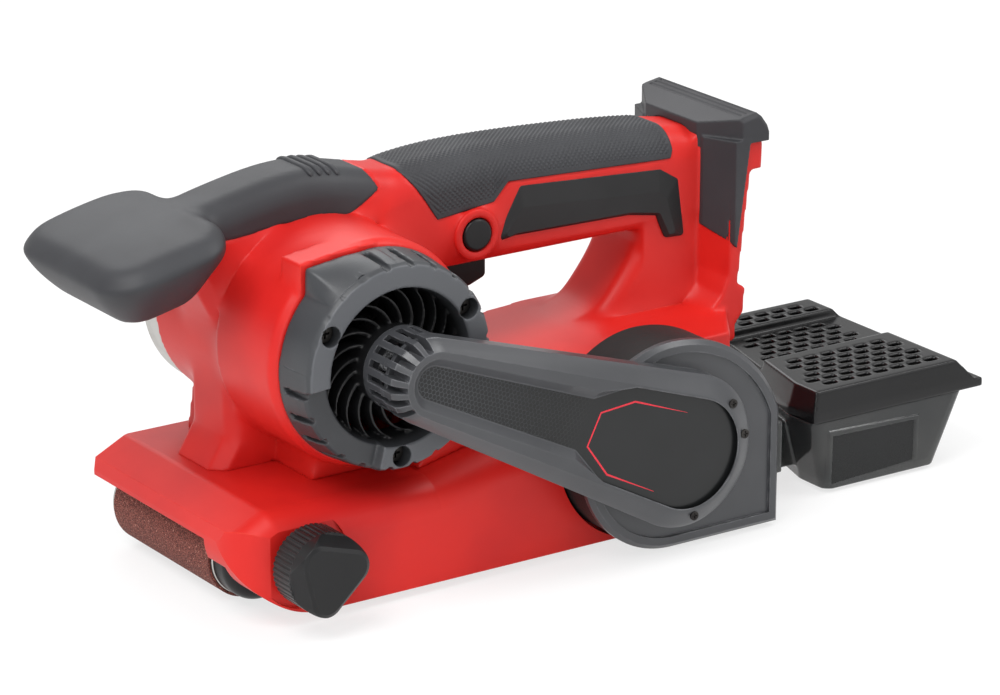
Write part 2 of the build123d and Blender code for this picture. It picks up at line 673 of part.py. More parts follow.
with BuildPart() as base_housing:
    with BuildSketch(side_plane(far_face)) as shoe_outline:
        with BuildLine():
            Polyline(*deck_line, (shoe_rear, shoe_low), skirt_front)
            Spline(skirt_front, skirt_bow, lip_low, tangents=((-1, 0), (0, 1)))
        make_face()
        fillet(shoe_outline.vertices().sort_by(Axis.X)[2], 6.0)
    extrude(shoe_outline.sketch, amount=far_face - skirt_near)
    near_rim = base_housing.faces().sort_by(Axis.Y)[0].outer_wire().edges()
    fillet(near_rim.filter_by(lambda edge: edge.center().Z > lip_nose[1]), deck_round)
    with BuildSketch(Plane.XY) as footprint:
        with BuildLine():
            Polyline(
                (lip_low[0], far_face),
                (lip_low[0], skirt_near),
                (shoe_rear, skirt_near),
                (shoe_rear, far_face),
                close=True,
            )
        make_face()
        fillet(footprint.vertices().filter_by(lambda corner: corner.Y < 0), corner_round)
    extrude(footprint.sketch, amount=deck_rear_z + 1, mode=Mode.INTERSECT)
    tunnel_front = (front_axis_x, front_axis_z, front_axis_z + tunnel_gap_front)
    tunnel_rear = (drive_axis_x, drive_axis_z, drive_axis_z + tunnel_gap_rear)
    loop_slab(tunnel_front, tunnel_rear, far_face + 1, case_far, 0, Mode.SUBTRACT)
    block((lip_low[0] - 9, drive_axis_x + 6), (case_far, far_face + 1), (-9, front_axis_z), Mode.SUBTRACT)
    block((drive_axis_x, shoe_rear - 8), (case_far, far_face - 4), (-9, drive_axis_z + 6), Mode.SUBTRACT)
    block((lip_low[0] - 9, front_axis_x), (case_far, far_face + 1), (-9, lip_low[1] - 2), Mode.SUBTRACT)
    loop_slab(
        tunnel_front, (bay_rear - front_axis_z, front_axis_z, front_axis_z), case_far, bay_near, 0, Mode.SUBTRACT
    )
    block((lip_low[0] - 9, bay_rear), (bay_near, case_far), (-9, front_axis_z), Mode.SUBTRACT)
    with BuildSketch(side_plane(far_face)) as hump:
        with Locations((hump_x, hump_z)):
            Circle(hump_radius)
        with Locations((hump_x, deck_rear_z - 1 - hump_radius)):
            Rectangle(hump_radius * 2, hump_radius * 2, mode=Mode.SUBTRACT)
    extrude(hump.sketch, amount=far_face - hump_far_start)
    extrude(volute_sketch(case_near, -free_gap), amount=40, mode=Mode.SUBTRACT)
    round_bar(fan_axis_x, fan_axis_z, gear_boss_radius, gear_far, case_near)
    gear_reach = gear_module * gear_teeth / 2 + addendum + gear_clearance
    pinion_reach = gear_module * pinion_teeth / 2 + addendum + gear_clearance
    round_bar(drive_axis_x, drive_axis_z, gear_reach, gear_far, gear_near, Mode.SUBTRACT)
    round_bar(fan_axis_x, fan_axis_z, pinion_reach, gear_far, gear_near, Mode.SUBTRACT)
    round_bar(drive_axis_x, drive_axis_z, roller_bearing_radius, case_far + 1, gear_far, Mode.SUBTRACT)
    round_bar(drive_axis_x, drive_axis_z, roller_bearing_radius, gear_near, case_near - 1, Mode.SUBTRACT)
    round_bar(fan_axis_x, fan_axis_z, fan_bearing_radius, case_far + 1, gear_far, Mode.SUBTRACT)
    round_bar(fan_axis_x, fan_axis_z, fan_shaft_radius + 1.0, gear_near, case_near, Mode.SUBTRACT)
    round_bar(dust_port_x, dust_port_z, dust_port_radius, case_far + 1, case_near - 1, Mode.SUBTRACT)
    round_bar(knob_x, knob_z, knob_radius + 3.0, skirt_near + knob_recess, skirt_near - 1, Mode.SUBTRACT)
    round_bar(knob_x, knob_z, screw_radius + running_fit, bay_near + 1, skirt_near - 1, Mode.SUBTRACT)
save(base_housing, "base_housing")


def knob_pyramid():
    """Front of the knob: a rounded triangle whose three flats slope out to the drum behind it."""
    with BuildPart() as body:
        with BuildSketch(side_plane(knob_back - knob_drum_depth)) as lobes:
            for angle in knob_lobes:
                with Locations(polar(knob_x, knob_z, knob_radius - knob_lobe_radius - knob_inset, angle)):
                    Circle(knob_lobe_radius + knob_spread)
            make_hull()
        depth = knob_back - knob_drum_depth - knob_front
        extrude(lobes.sketch, amount=depth, taper=degrees(atan2(knob_spread, depth)))
        chamfer(body.faces().sort_by(Axis.Y)[0].outer_wire().edges(), 1.0)
        round_bar(knob_x, knob_z, knob_radius, knob_back, knob_front - 1, Mode.INTERSECT)
    return body.part


with BuildPart() as tracking_knob:
    with BuildSketch(side_plane(knob_back)) as knob_rim:
        with Locations((knob_x, knob_z)):
            Circle(knob_radius)
            with PolarLocations(knob_radius + 0.35, 44):
                Circle(0.75, mode=Mode.SUBTRACT)
    extrude(knob_rim.sketch, amount=knob_drum_depth)
    add(knob_pyramid())
save(tracking_knob, "tracking_knob")

with BuildPart() as tracking_screw:
    round_bar(knob_x, knob_z, screw_radius, fork_near - free_gap, knob_back)
save(tracking_screw, "tracking_screw")

# ----------------------------------------------------------------------------- motor
barrel_radius = 46.0
barrel_step = -17.0
barrel_far_radius = 42.5
barrel_far = 36.0
motor_bay_radius = 38.0
motor_bay_near = -58.0
motor_bay_far = 31.0
stator_far = 22.0
stator_near = -26.0
stator_ring = 6.0
rotor_radius = 15.0
rotor_gap = 0.6
stator_slots = 12
motor_fan_radius = 34.0
motor_fan_far = -38.0
motor_fan_near = -52.0
motor_bearing_radius = 9.5
cap_hub_radius = 16.0
far_bearing_face = 45.0

with BuildPart() as stator:
    stator_bore = rotor_radius + rotor_gap
    tube(motor_x, motor_z, motor_bay_radius, motor_bay_radius - stator_ring, stator_far, stator_near)
    with BuildSketch(side_plane(stator_far)) as teeth:
        with Locations((motor_x, motor_z)):
            with PolarLocations((stator_bore + motor_bay_radius - 2) / 2, stator_slots):
                Rectangle(motor_bay_radius - 2 - stator_bore, 3.6)
            with PolarLocations(stator_bore + 1.4, stator_slots):
                Rectangle(2.4, 6.2)
            Circle(stator_bore, mode=Mode.SUBTRACT)
    extrude(teeth.sketch, amount=stator_far - stator_near)
save(stator, "stator")

with BuildPart() as stator_windings:
    winding_middle = (stator_bore + 3.5 + motor_bay_radius - stator_ring) / 2
    winding_length = motor_bay_radius - stator_ring - stator_bore - 4.5
    with BuildSketch(side_plane(stator_far + 4)) as coils:
        with Locations((motor_x, motor_z)):
            with PolarLocations(winding_middle, stator_slots):
                Rectangle(winding_length, 6.4)
    extrude(coils.sketch, amount=stator_far - stator_near + 8)
    with BuildSketch(side_plane(stator_far)) as cores:
        with Locations((motor_x, motor_z)):
            with PolarLocations(winding_middle, stator_slots):
                Rectangle(winding_length + 2, 3.6)
    extrude(cores.sketch, amount=stator_far - stator_near, mode=Mode.SUBTRACT)
save(stator_windings, "stator_windings")

with BuildPart() as rotor:
    tube(motor_x, motor_z, rotor_radius, motor_shaft_radius, stator_far - 1, stator_near + 1)
save(rotor, "rotor")

with BuildPart() as motor_shaft:
    round_bar(motor_x, motor_z, motor_shaft_radius, far_bearing_face, pulley_near)
    chamfer(motor_shaft.edges().filter_by(GeomType.CIRCLE), 0.4)
save(motor_shaft, "motor_shaft")

with BuildPart() as motor_fan:
    round_bar(motor_x, motor_z, motor_fan_radius, motor_fan_far, motor_fan_far - 2)
    round_bar(motor_x, motor_z, 8.0, motor_fan_far, motor_fan_near)
    for blade in range(11):
        fan_blade_angle = 360 * blade / 11
        curved_blade(
            motor_x, motor_z, 13.0, motor_fan_radius - 0.3, fan_blade_angle, 30, 1.4, motor_fan_far - 1, motor_fan_near
        )
    round_bar(motor_x, motor_z, motor_shaft_radius, motor_fan_far, motor_fan_near, Mode.SUBTRACT)
save(motor_fan, "motor_fan")

# ----------------------------------------------------------------------------- motor end cap with its intake grille
cap_seam_radius = 43.5
cap_face_radius = 40.6
cap_ring_inner = 31.0
cap_floor = -64.0
cap_floor_thickness = 3.0
cap_slots = 24
well_circle = 36.3
well_angles = (30, 150, 270)
well_radius = 4.2
lug_corner = (-72.0, 138.7)
lug_foot = (-72.3, 128.8)
vane_count = 20

cap_screw_radius = 2.0
motor_axis = Axis((motor_x, 0, motor_z), (0, 1, 0))
motor_plane = Plane(origin=(motor_x, 0, motor_z), x_dir=(1, 0, 0), z_dir=(0, 0, 1))


def lug_slab(far, near, grow=0.0):
    """Corner lug that squares the upper front of the round barrel between two stations."""
    with BuildSketch(side_plane(far)) as lug:
        with BuildLine():
            Polyline(
                (motor_x, motor_z),
                (motor_x, motor_z + cap_seam_radius),
                (motor_x - 14.0, motor_z + cap_seam_radius - 0.6),
                lug_corner,
                lug_foot,
                close=True,
            )
        make_face()
        if grow:
            offset(amount=grow, kind=Kind.INTERSECTION)
        with Locations((motor_x, motor_z)):
            Circle(motor_bay_radius, mode=Mode.SUBTRACT)
    extrude(lug.sketch, amount=far - near)


with BuildPart() as motor_end_cap:
    with BuildSketch(motor_plane) as wall:
        with BuildLine():
            Polyline(
                (cap_ring_inner + 4.0, cap_seam),
                (cap_seam_radius, cap_seam),
                (cap_face_radius + 1.2, cap_face + 1.8),
                (cap_face_radius, cap_face),
                (cap_ring_inner + 1.0, cap_face),
                (cap_ring_inner - 1.5, cap_floor - cap_floor_thickness),
                (cap_ring_inner - 1.5, cap_floor),
                (cap_ring_inner + 4.0, cap_floor),
                close=True,
            )
        make_face()
    revolve(wall.sketch, axis=motor_axis)
    lug_slab(cap_seam, cap_face + 2.5)
    tube(motor_x, motor_z, cap_hub_radius, motor_bearing_radius, cap_floor + 2, cap_face + cap_hub_gap)
    for vane in range(vane_count):
        vane_angle = 360 * vane / vane_count
        vane_span = (cap_hub_radius - 1.0, cap_ring_inner - 0.8)
        curved_blade(motor_x, motor_z, *vane_span, vane_angle, 34, 1.5, cap_floor, cap_face + 7.0)
    with BuildSketch(side_plane(cap_seam - 3.0)) as vents:
        with Locations((motor_x, motor_z)):
            with PolarLocations(cap_seam_radius - 1.0, cap_slots, start_angle=7.5):
                Rectangle(5.0, 2.8)
        with Locations(lug_corner):
            Rectangle(16, 16, mode=Mode.SUBTRACT)
    extrude(vents.sketch, amount=cap_seam - 3.0 - cap_face, mode=Mode.SUBTRACT)
    for angle in well_angles:
        well = polar(motor_x, motor_z, well_circle, angle)
        round_bar(*well, well_radius, cap_face + 8, cap_face - 1, Mode.SUBTRACT)
        round_bar(*well, cap_screw_radius + running_fit, cap_seam + 1, cap_face, Mode.SUBTRACT)
save(motor_end_cap, "motor_end_cap")

with BuildPart() as motor_bearings:
    near_seat = cap_floor - 4.0
    bearing(motor_x, motor_z, motor_bearing_radius, motor_shaft_radius, near_seat, near_seat - bearing_width)
    far_seat = far_bearing_face - 1.0
    bearing(motor_x, motor_z, motor_bearing_radius, motor_shaft_radius, far_seat, far_seat - bearing_width)
save(motor_bearings, "motor_bearings")

with BuildPart() as cap_screws:
    for angle in well_angles:
        screw = polar(motor_x, motor_z, well_circle, angle)
        round_bar(*screw, 3.5, cap_face + 8, cap_face + 5)
        round_bar(*screw, cap_screw_radius, motor_bay_near, cap_face + 8)
        with BuildSketch(side_plane(cap_face + 5)) as drive:
            with Locations(screw):
                Rectangle(0.9, 4.2)
                Rectangle(4.2, 0.9)
        extrude(drive.sketch, amount=-1.2, mode=Mode.SUBTRACT)
save(cap_screws, "cap_screws")

far_cover_radius = 41.5
far_cover_face = 49.0
far_cover_skin = 3.0
far_hub_radius = 13.0

with BuildPart() as far_motor_cover:
    round_bar(motor_x, motor_z, far_cover_radius, far_cover_face, barrel_far + 0.8)
    fillet(far_motor_cover.faces().sort_by(Axis.Y)[-1].outer_wire().edges(), 1.6)
    round_bar(motor_x, motor_z, motor_bay_radius, barrel_far + 0.8, motor_bay_far)
    with BuildSketch(side_plane(far_cover_face - far_cover_skin - 1.0)) as far_hollow:
        with Locations((motor_x, motor_z)):
            Circle(motor_bay_radius - far_cover_skin)
            Circle(far_hub_radius, mode=Mode.SUBTRACT)
    extrude(far_hollow.sketch, amount=far_cover_face - motor_bay_far, mode=Mode.SUBTRACT)
    round_bar(motor_x, motor_z, far_cover_radius - 9.0, far_cover_face + 1, far_cover_face - 1.0, Mode.SUBTRACT)
    round_bar(motor_x, motor_z, motor_bearing_radius, far_bearing_face + 0.5, motor_bay_far, Mode.SUBTRACT)
    with BuildSketch(side_plane(far_cover_face)) as far_vents:
        with Locations((motor_x, motor_z)):
            with PolarLocations(22.0, 12):
                Rectangle(13.0, 3.2)
    extrude(far_vents.sketch, amount=far_cover_face - motor_bay_far, mode=Mode.SUBTRACT)
save(far_motor_cover, "far_motor_cover")

# ----------------------------------------------------------------------------- main housing
spine_half = 17.0
spine_round = 11.0
handle_round = 13.0
handle_half = 19.0
grip_thickness = 2.2
column_half = 18.0
flange_half = 34.0
flange_rear_x = 160.0
handle_low = 110.5
pedestal_near = -45.0
pedestal_far = barrel_far
rear_body_near = -58.0
rear_body_high = 74.0
chin_front = 8.0
wall = 3.0
lock_x = 33.0
lock_z = 124.0
lock_radius = 6.7
lock_boss_radius = 10.5
lock_boss_face = -21.5
lock_face = -23.0
lock_inner = -13.5
trigger_half = 9.0
trigger_pin_x = 21.5
trigger_pin_z = 118.0
trigger_pin_radius = 1.5
trigger_pin_half = 14.5
trigger_slot = (17.0, 48.5)
cavity_half = 13.0
cavity_low = 115.5
cavity_high = 146.0
column_cavity = (125.0, 149.0)
screw_head_radius = 3.2
screw_shank_radius = 1.6
screw_head_depth = 2.4
screw_reach = -8.0
screw_boss_radius = 5.0
housing_screw_places = ((10.0, 119.0, 19.0), (134.0, 94.0, 18.0), (120.0, 67.0, 26.0), (40.0, 65.0, 26.0))
battery_half = 29.0
battery_slot_front = 153.0
battery_slot_low = 59.0
battery_slot_high = 141.0
battery_groove = 2.8
terminal_front = 150.0
terminal_half = 18.0
insert_depth = 1.6
insert_proud = 1.4

spine_top = [(-100.0, 149.5), (-86.0, 153.4), (-70.0, 157.0), (-36.4, 160.4), (-15.5, 156.6), (6.0, 152.6)]
spine_front = [(-100.0, 138.0), (-94.0, 124.0), (-84.5, 106.0), (-80.5, 84.0), (-80.5, 58.0), (-88.5, deck_z)]
handle_top = [(-6.0, 152.2), (20.0, 156.3), (59.0, 156.4), (100.0, 154.6), (128.0, 151.8), (151.0, 148.0)]
grip_region = [(0.5, 162.0), (2.0, 154.5), (16.0, 131.5), (43.0, 134.5), (50.0, 142.0), (131.0, 138.5), (134.0, 162.0)]
neck_region = [(-112.0, 170.0), (-112.0, 139.5), (-76.0, 139.5), (-55.0, 141.5), (-24.0, 140.0), (-9.5, 149.0), (-19.0, 170.0)]
insert_outline = [
    (43.5, 118.0),
    (56.0, 140.0),
    (126.0, 135.5),
    (135.0, 130.0),
    (138.5, 105.0),
    (129.0, 105.5),
    (124.0, 116.0),
    (110.0, 118.5),
    (53.0, 119.5),
]

insert_face = [
    (46.0, 119.0),
    (56.5, 131.2),
    (124.5, 126.5),
    (128.5, 122.8),
    (133.5, 107.0),
    (130.2, 107.0),
    (125.2, 117.2),
    (110.5, 119.8),
    (53.5, 120.7),
]


def spine(inset=0.0):
    """Front of the housing in side view: foot, pillar, neck and the valley behind it, with rounded edges."""
    half = spine_half - inset
    top = [(x, z - inset) for x, z in spine_top]
    front = [(x + inset, z) for x, z in spine_front]
    with BuildPart() as body:
        with BuildSketch(side_plane(half)) as outline:
            with BuildLine():
                Spline(*top)
                Polyline(top[-1], (6.0, deck_z + 60), (-20.0, deck_z), front[-1])
                Polyline(*reversed(front), top[0])
            make_face()
        extrude(outline.sketch, amount=2 * half)
        rims = body.edges().filter_by(lambda edge: abs(abs(edge.center().Y) - half) < 0.1)
        fillet(rims.sort_by(lambda edge: edge.center().Z)[-2:], spine_round - inset)
        if not inset:
            rims = body.edges().filter_by(lambda edge: abs(abs(edge.center().Y) - half) < 0.1)
            chamfer(rims.filter_by(lambda edge: edge.center().X < -76 and edge.center().Z < 138), 5.0)
    return body.part


def handle(inset=0.0):
    """Main handle bar in side view, with a well rounded top and softly rounded lower edges."""
    half = handle_half - inset
    top = [(x, z - inset) for x, z in handle_top]
    low = handle_low + inset
    with BuildPart() as body:
        with BuildSketch(side_plane(half)) as outline:
            with BuildLine():
                Spline(*top)
                Polyline(top[-1], (top[-1][0], low), (chin_front, low))
                Polyline((chin_front, low), (-12.0, 128.0), top[0])
            make_face()
        extrude(outline.sketch, amount=2 * half)
        rims = body.edges().filter_by(lambda edge: abs(abs(edge.center().Y) - half) < 0.1)
        fillet(rims.sort_by(lambda edge: edge.center().Z)[-2:], handle_round - inset)
        if not inset:
            fillet(body.edges().filter_by(Axis.X).group_by(Axis.Z)[0], 5.0)
    return body.part


column_round = 7.0
column_front = [(78.0, 66.0), (84.0, 73.6), (97.0, 78.5), (105.0, 86.0), (113.0, 97.0), (118.0, 109.0)]
flange_inner = [(122.0, 60.0), (131.9, 66.8), (144.4, 82.9), (146.0, 90.6), (145.7, 146.0)]
flange_outer = [(125.0, 60.0), (134.4, 67.1), (147.9, 80.3), (151.5, 88.6), (152.5, 146.0)]
flange_rear = [
    (flange_rear_x, 146.0),
    (167.8, 144.8),
    (167.0, 133.0),
    (161.7, 133.0),
    (155.9, 84.7),
    (159.7, 82.3),
    (159.4, 72.4),
    (155.2, 66.9),
    (155.2, 60.0),
]


def flange_plan(grow=0.0):
    """Plan of the battery column: narrow in front, flaring to the full width of the battery seat."""
    with BuildSketch(Plane.XY) as plan:
        with BuildLine():
            Polyline(
                (145.5, column_half + grow),
                (152.5, flange_half + grow),
                (flange_rear_x + 20, flange_half + grow),
                (flange_rear_x + 20, -flange_half - grow),
                (152.5, -flange_half - grow),
                (145.5, -column_half - grow),
                close=True,
            )
        make_face()
    return plan.sketch


def column():
    """Front of the battery column: it sweeps up from the rear body in one curve, with rounded upright edges."""
    with BuildPart() as body:
        with BuildSketch(side_plane(column_half)) as outline:
            with BuildLine():
                front = Spline(*column_front)
                Polyline(front @ 1, (118.0, 116.0), (147.0, 149.0), (153.0, 149.0), (153.0, 66.0), front @ 0)
            make_face()
        extrude(outline.sketch, amount=2 * column_half)
        sweep_edges = body.edges().filter_by(GeomType.BSPLINE).filter_by(lambda edge: abs(edge.center().Y) > 1)
        fillet(sweep_edges, column_round)
    return body.part


def flange_side(front, y):
    """Battery seat in side view at a station: the given front profile closed by the stepped rear edge."""
    with BuildSketch(side_plane(y)) as outline:
        with BuildLine():
            Polyline(*front, *flange_rear, close=True)
        make_face()
    return outline.sketch


def flange():
    """Battery seat: a narrow middle that flares in straight flanks to the full width of the seat."""
    with BuildPart() as body:
        extrude(flange_side(flange_inner, column_half), amount=2 * column_half)
        for side in (1, -1):
            inner = flange_side(flange_inner, side * column_half)
            outer = flange_side(flange_outer, side * flange_half)
            loft([inner, outer], ruled=True)
    return body.part


def whole_housing():
    """The housing before it is split into its two clamshell halves."""
    with BuildPart() as body:
        round_bar(motor_x, motor_z, barrel_radius, barrel_step, cap_seam + 3.0)
        round_bar(motor_x, motor_z, barrel_far_radius, barrel_far, barrel_step)
        with BuildSketch(side_plane(cap_seam + 3.0)) as rim:
            with Locations((motor_x, motor_z)):
                Circle(barrel_radius)
        extrude(rim.sketch, amount=3.0, taper=35)
        lug_slab(cap_seam + 14.0, cap_seam, 1.6)
        add(spine())
        add(spine_far_band())
        add(handle())
        pedestal = [(-60.4, deck_z), (-57.0, 66.0), (-30.0, 74.0), (2.0, 74.0), (24.0, 56.0), (-20.0, deck_z)]
        slab(pedestal, pedestal_far, pedestal_near)
        rear_body = [
            (-20.0, deck_z),
            (0.0, 78.0),
            (18.0, 70.0),
            (50.0, 71.0),
            (88.0, rear_body_high),
            (150.0, rear_body_high),
            (155.2, 60.0),
        ]
        slab(rear_body, hump_far_start, rear_body_near)
        with BuildSketch(Plane.XY.offset(deck_z)) as rear_corner:
            with BuildLine():
                Polyline(
                    (128.0, rear_body_near - 1),
                    (134.0, rear_body_near),
                    (150.0, -flange_half),
                    (flange_rear_x, -flange_half),
                    (flange_rear_x, rear_body_near - 1),
                    close=True,
                )
            make_face()
        extrude(rear_corner.sketch, amount=rear_body_high, mode=Mode.SUBTRACT)
        add(column())
        add(flange())
        round_bar(lock_x, lock_z, lock_boss_radius, 0, lock_boss_face)
    return body.part


def spine_far_band():
    """Pedestal web that carries the spine to the far side of the barrel."""
    with BuildPart() as body:
        slab([(-70.0, deck_z), (-66.0, 70.0), (-40.0, 80.0), (-10.0, 70.0), (-10.0, deck_z)], pedestal_far, 0)
    return body.part




paddle_x = -115.5
paddle_z = 138.5
paddle_tilt = 13.0
paddle_length = 57.0
paddle_width = 80.0
paddle_height = 20.0
paddle_corner = 17.0
paddle_edge = 8.5
neck_thickness = 2.5


def paddle():
    """Front handle: a thick rounded pad for the second hand, tilted down towards the front."""
    tilt = radians(paddle_tilt)
    middle = Plane(origin=(paddle_x, 0, paddle_z), x_dir=(cos(tilt), 0, sin(tilt)), z_dir=(-sin(tilt), 0, cos(tilt)))
    with BuildPart() as body:
        with BuildSketch(middle.offset(-paddle_height / 2)) as outline:
            RectangleRounded(paddle_length, paddle_width, paddle_corner)
        extrude(outline.sketch, amount=paddle_height)
        rims = body.faces().sort_by(lambda face: abs(face.normal_at().dot(middle.z_dir)))[-2:].edges()
        fillet(rims, paddle_edge)
    return body.part


def grip_sleeve(thickness=grip_thickness):
    """Skin of the given thickness on the handle bar, as long as the gripping surface."""
    with BuildPart() as body:
        add(handle())
        add(handle(thickness), mode=Mode.SUBTRACT)
        slab(grip_region, handle_half + 1, -handle_half - 1, Mode.INTERSECT)
    return body.part


def neck_cover():
    """Soft cover over the neck between the pillar and the main handle."""
    with BuildPart() as body:
        add(spine())
        add(spine(neck_thickness), mode=Mode.SUBTRACT)
        slab(neck_region, spine_half + 1, -spine_half - 1, Mode.INTERSECT)
    return body.part


def insert_pad(side, thickness):
    """Side panel of the handle, as far out as the given thickness, on the near (-1) or far (+1) side."""
    inner = handle_half - insert_depth
    outer = inner + thickness
    with BuildPart() as body:
        stations = (outer, inner) if side > 0 else (-inner, -outer)
        slab(insert_outline, *stations, Mode.ADD)
        fillet(body.edges().filter_by(Axis.Y), 1.5)
    return body.part


def rounded_outline(points, y):
    """Face parallel to XZ at a station, bounded by a polygon with softened corners."""
    with BuildSketch(side_plane(y)) as outline:
        with BuildLine():
            Polyline(*points, close=True)
        make_face()
        fillet(outline.vertices(), 1.5)
    return outline.sketch


def handle_insert(side):
    """Side panel as it lies on the handle: flush at its foot, with broad slopes up to its raised middle."""
    foot = rounded_outline(insert_outline, side * handle_half)
    face = rounded_outline(insert_face, side * (handle_half + insert_proud))
    with BuildPart() as body:
        add(insert_pad(side, insert_depth))
        loft([foot, face], ruled=True)
    return body.part


with BuildPart() as housing:
    add(whole_housing())
    slab(deck_line + [(shoe_rear, 0), (lip_low[0] - 9, 0)], far_face + 5, skirt_near - 5, Mode.SUBTRACT)
    round_bar(motor_x, motor_z, motor_bay_radius, barrel_far + 1, motor_bay_near, Mode.SUBTRACT)
    round_bar(motor_x, motor_z, motor_fan_radius - 1, motor_bay_near, cap_seam - 1, Mode.SUBTRACT)
    block((16, column_cavity[1]), (-cavity_half, cavity_half), (cavity_low, cavity_high), Mode.SUBTRACT)
    block(column_cavity, (-cavity_half, cavity_half), (64, cavity_high), Mode.SUBTRACT)
    slot_half = trigger_half + slide_gap
    block(trigger_slot, (-slot_half, slot_half), (handle_low - 6, cavity_low + 2), Mode.SUBTRACT)
    trigger_seat = (trigger_pin_x, trigger_pin_z, trigger_pin_radius)
    round_bar(*trigger_seat, trigger_pin_half, -trigger_pin_half, Mode.SUBTRACT)
    round_bar(lock_x, lock_z, lock_radius + free_gap, 0, lock_boss_face - 1, Mode.SUBTRACT)
    block(
        (battery_slot_front, flange_rear_x + 9),
        (-battery_half, battery_half),
        (battery_slot_low, battery_slot_high),
        Mode.SUBTRACT,
    )
    block(
        (battery_slot_front, battery_slot_front + battery_groove),
        (-battery_half - battery_groove, battery_half + battery_groove),
        (battery_slot_low, battery_slot_high),
        Mode.SUBTRACT,
    )
    block(
        (terminal_front, battery_slot_front + 1),
        (-terminal_half, terminal_half),
        (88, 127),
        Mode.SUBTRACT,
    )
    round_bar(fan_axis_x, fan_axis_z, gear_boss_radius, gear_far, case_near, Mode.SUBTRACT)
    for angle in well_angles:
        well = polar(motor_x, motor_z, well_circle, angle)
        round_bar(*well, cap_screw_radius, motor_bay_near + 1, cap_seam, Mode.SUBTRACT)
    add(grip_sleeve(), mode=Mode.SUBTRACT)
    add(neck_cover(), mode=Mode.SUBTRACT)
    add(paddle(), mode=Mode.SUBTRACT)
    for side in (1, -1):
        add(insert_pad(side, insert_depth + 5), mode=Mode.SUBTRACT)
    for x, z, face in housing_screw_places:
        if column_cavity[0] < x < column_cavity[1]:
            round_bar(x, z, screw_boss_radius, cavity_half + 1, -cavity_half - 1)
        round_bar(x, z, screw_head_radius, face + 1, face - screw_head_depth - 2, Mode.SUBTRACT)
        round_bar(x, z, screw_shank_radius, face, screw_reach, Mode.SUBTRACT)

with BuildPart() as housing_near:
    add(housing.part)
    split(bisect_by=Plane.XZ, keep=Keep.TOP)
save(housing_near, "housing_near")

with BuildPart() as housing_far:
    add(housing.part)
    split(bisect_by=Plane.XZ, keep=Keep.BOTTOM)
save(housing_far, "housing_far")

with BuildPart() as handle_grip:
    add(grip_sleeve())
    for side in (1, -1):
        add(insert_pad(side, insert_depth + 5), mode=Mode.SUBTRACT)
save(handle_grip, "handle_grip")

with BuildPart() as handle_insert_near:
    add(handle_insert(-1))
save(handle_insert_near, "handle_insert_near")

with BuildPart() as handle_insert_far:
    add(handle_insert(1))
save(handle_insert_far, "handle_insert_far")

with BuildPart() as front_grip:
    add(neck_cover())
    add(paddle())
save(front_grip, "front_grip")

with BuildPart() as housing_screws:
    for x, z, face in housing_screw_places:
        head_face = face - 2.0
        round_bar(x, z, screw_head_radius, head_face, head_face - screw_head_depth)
        round_bar(x, z, screw_shank_radius, head_face - screw_head_depth, screw_reach)
        with BuildSketch(side_plane(head_face)) as cross:
            with Locations((x, z)):
                Rectangle(0.9, 4.0)
                Rectangle(4.0, 0.9)
        extrude(cross.sketch, amount=1.2, mode=Mode.SUBTRACT)
save(housing_screws, "housing_screws")

# ----------------------------------------------------------------------------- battery seat
bumper_half = 36.0
bumper_front = 145.0
bumper_flare = 156.0
bumper_rear = 169.4
bumper_low = 145.0
bumper_crease = 152.6
bumper_top = 157.5
bumper_groove = 0.9
bumper_groove_first = 157.6
bumper_groove_pitch = 2.6
bumper_skin = 2.2
cheek_overlap = 2.0
blade_pitch = 9.0
terminal_low = 90.0
terminal_high = 125.0

def bumper_cheeks():
    """Side panels of the bumper, which lie on the flared flanks of the battery column."""
    cheek = [(146.0, 147.0), (flange_rear_x, 147.0), (153.6, 101.0), (146.0, 109.0)]
    with BuildPart() as body:
        slab(cheek, bumper_half + 1, -bumper_half - 1)
        extrude(flange_plan(bumper_skin), amount=200, mode=Mode.INTERSECT)
        extrude(flange_plan(-cheek_overlap), amount=200, mode=Mode.SUBTRACT)
    return body.part


def bumper_plan():
    """Plan of the bumper: narrow in front, flaring over the flanks of the battery column."""
    with BuildSketch(Plane.XY) as plan:
        with BuildLine():
            Polyline(
                (bumper_front, column_half),
                (bumper_flare, bumper_half),
                (bumper_rear, bumper_half),
                (bumper_rear, -bumper_half),
                (bumper_flare, -bumper_half),
                (bumper_front, -column_half),
                close=True,
            )
        make_face()
    return plan.sketch


with BuildPart() as battery_bumper:
    crown = [
        (bumper_front, bumper_low - 3),
        (bumper_front, bumper_crease),
        (157.0, bumper_top - 1.2),
        (163.8, bumper_top),
        (166.4, 155.6),
        (bumper_rear, 151.5),
        (bumper_rear, bumper_low),
        (flange_rear_x, bumper_low),
    ]
    slab(crown, bumper_half, -bumper_half)
    extrude(bumper_plan(), amount=200, mode=Mode.INTERSECT)
    rims = battery_bumper.edges().filter_by(lambda edge: edge.center().Z > bumper_crease - 1)
    chamfer(rims.filter_by(lambda edge: abs(edge.center().Y) > bumper_half - 1), 1.6)
    for groove in range(3):
        groove_x = bumper_groove_first + bumper_groove_pitch * groove
        groove_z = bumper_top + 0.3 + (groove_x - 163.8) * 1.2 / 6.8
        round_bar(groove_x, groove_z, bumper_groove, bumper_half - 4, 4 - bumper_half, Mode.SUBTRACT)
    add(bumper_cheeks())
    add(housing.part, mode=Mode.SUBTRACT)
    block((0, 165), (-spine_half - 1, spine_half + 1), (100, bumper_low), Mode.SUBTRACT)
    block(column_cavity, (-cavity_half, cavity_half), (100, cavity_high), Mode.SUBTRACT)
save(battery_bumper, "battery_bumper")

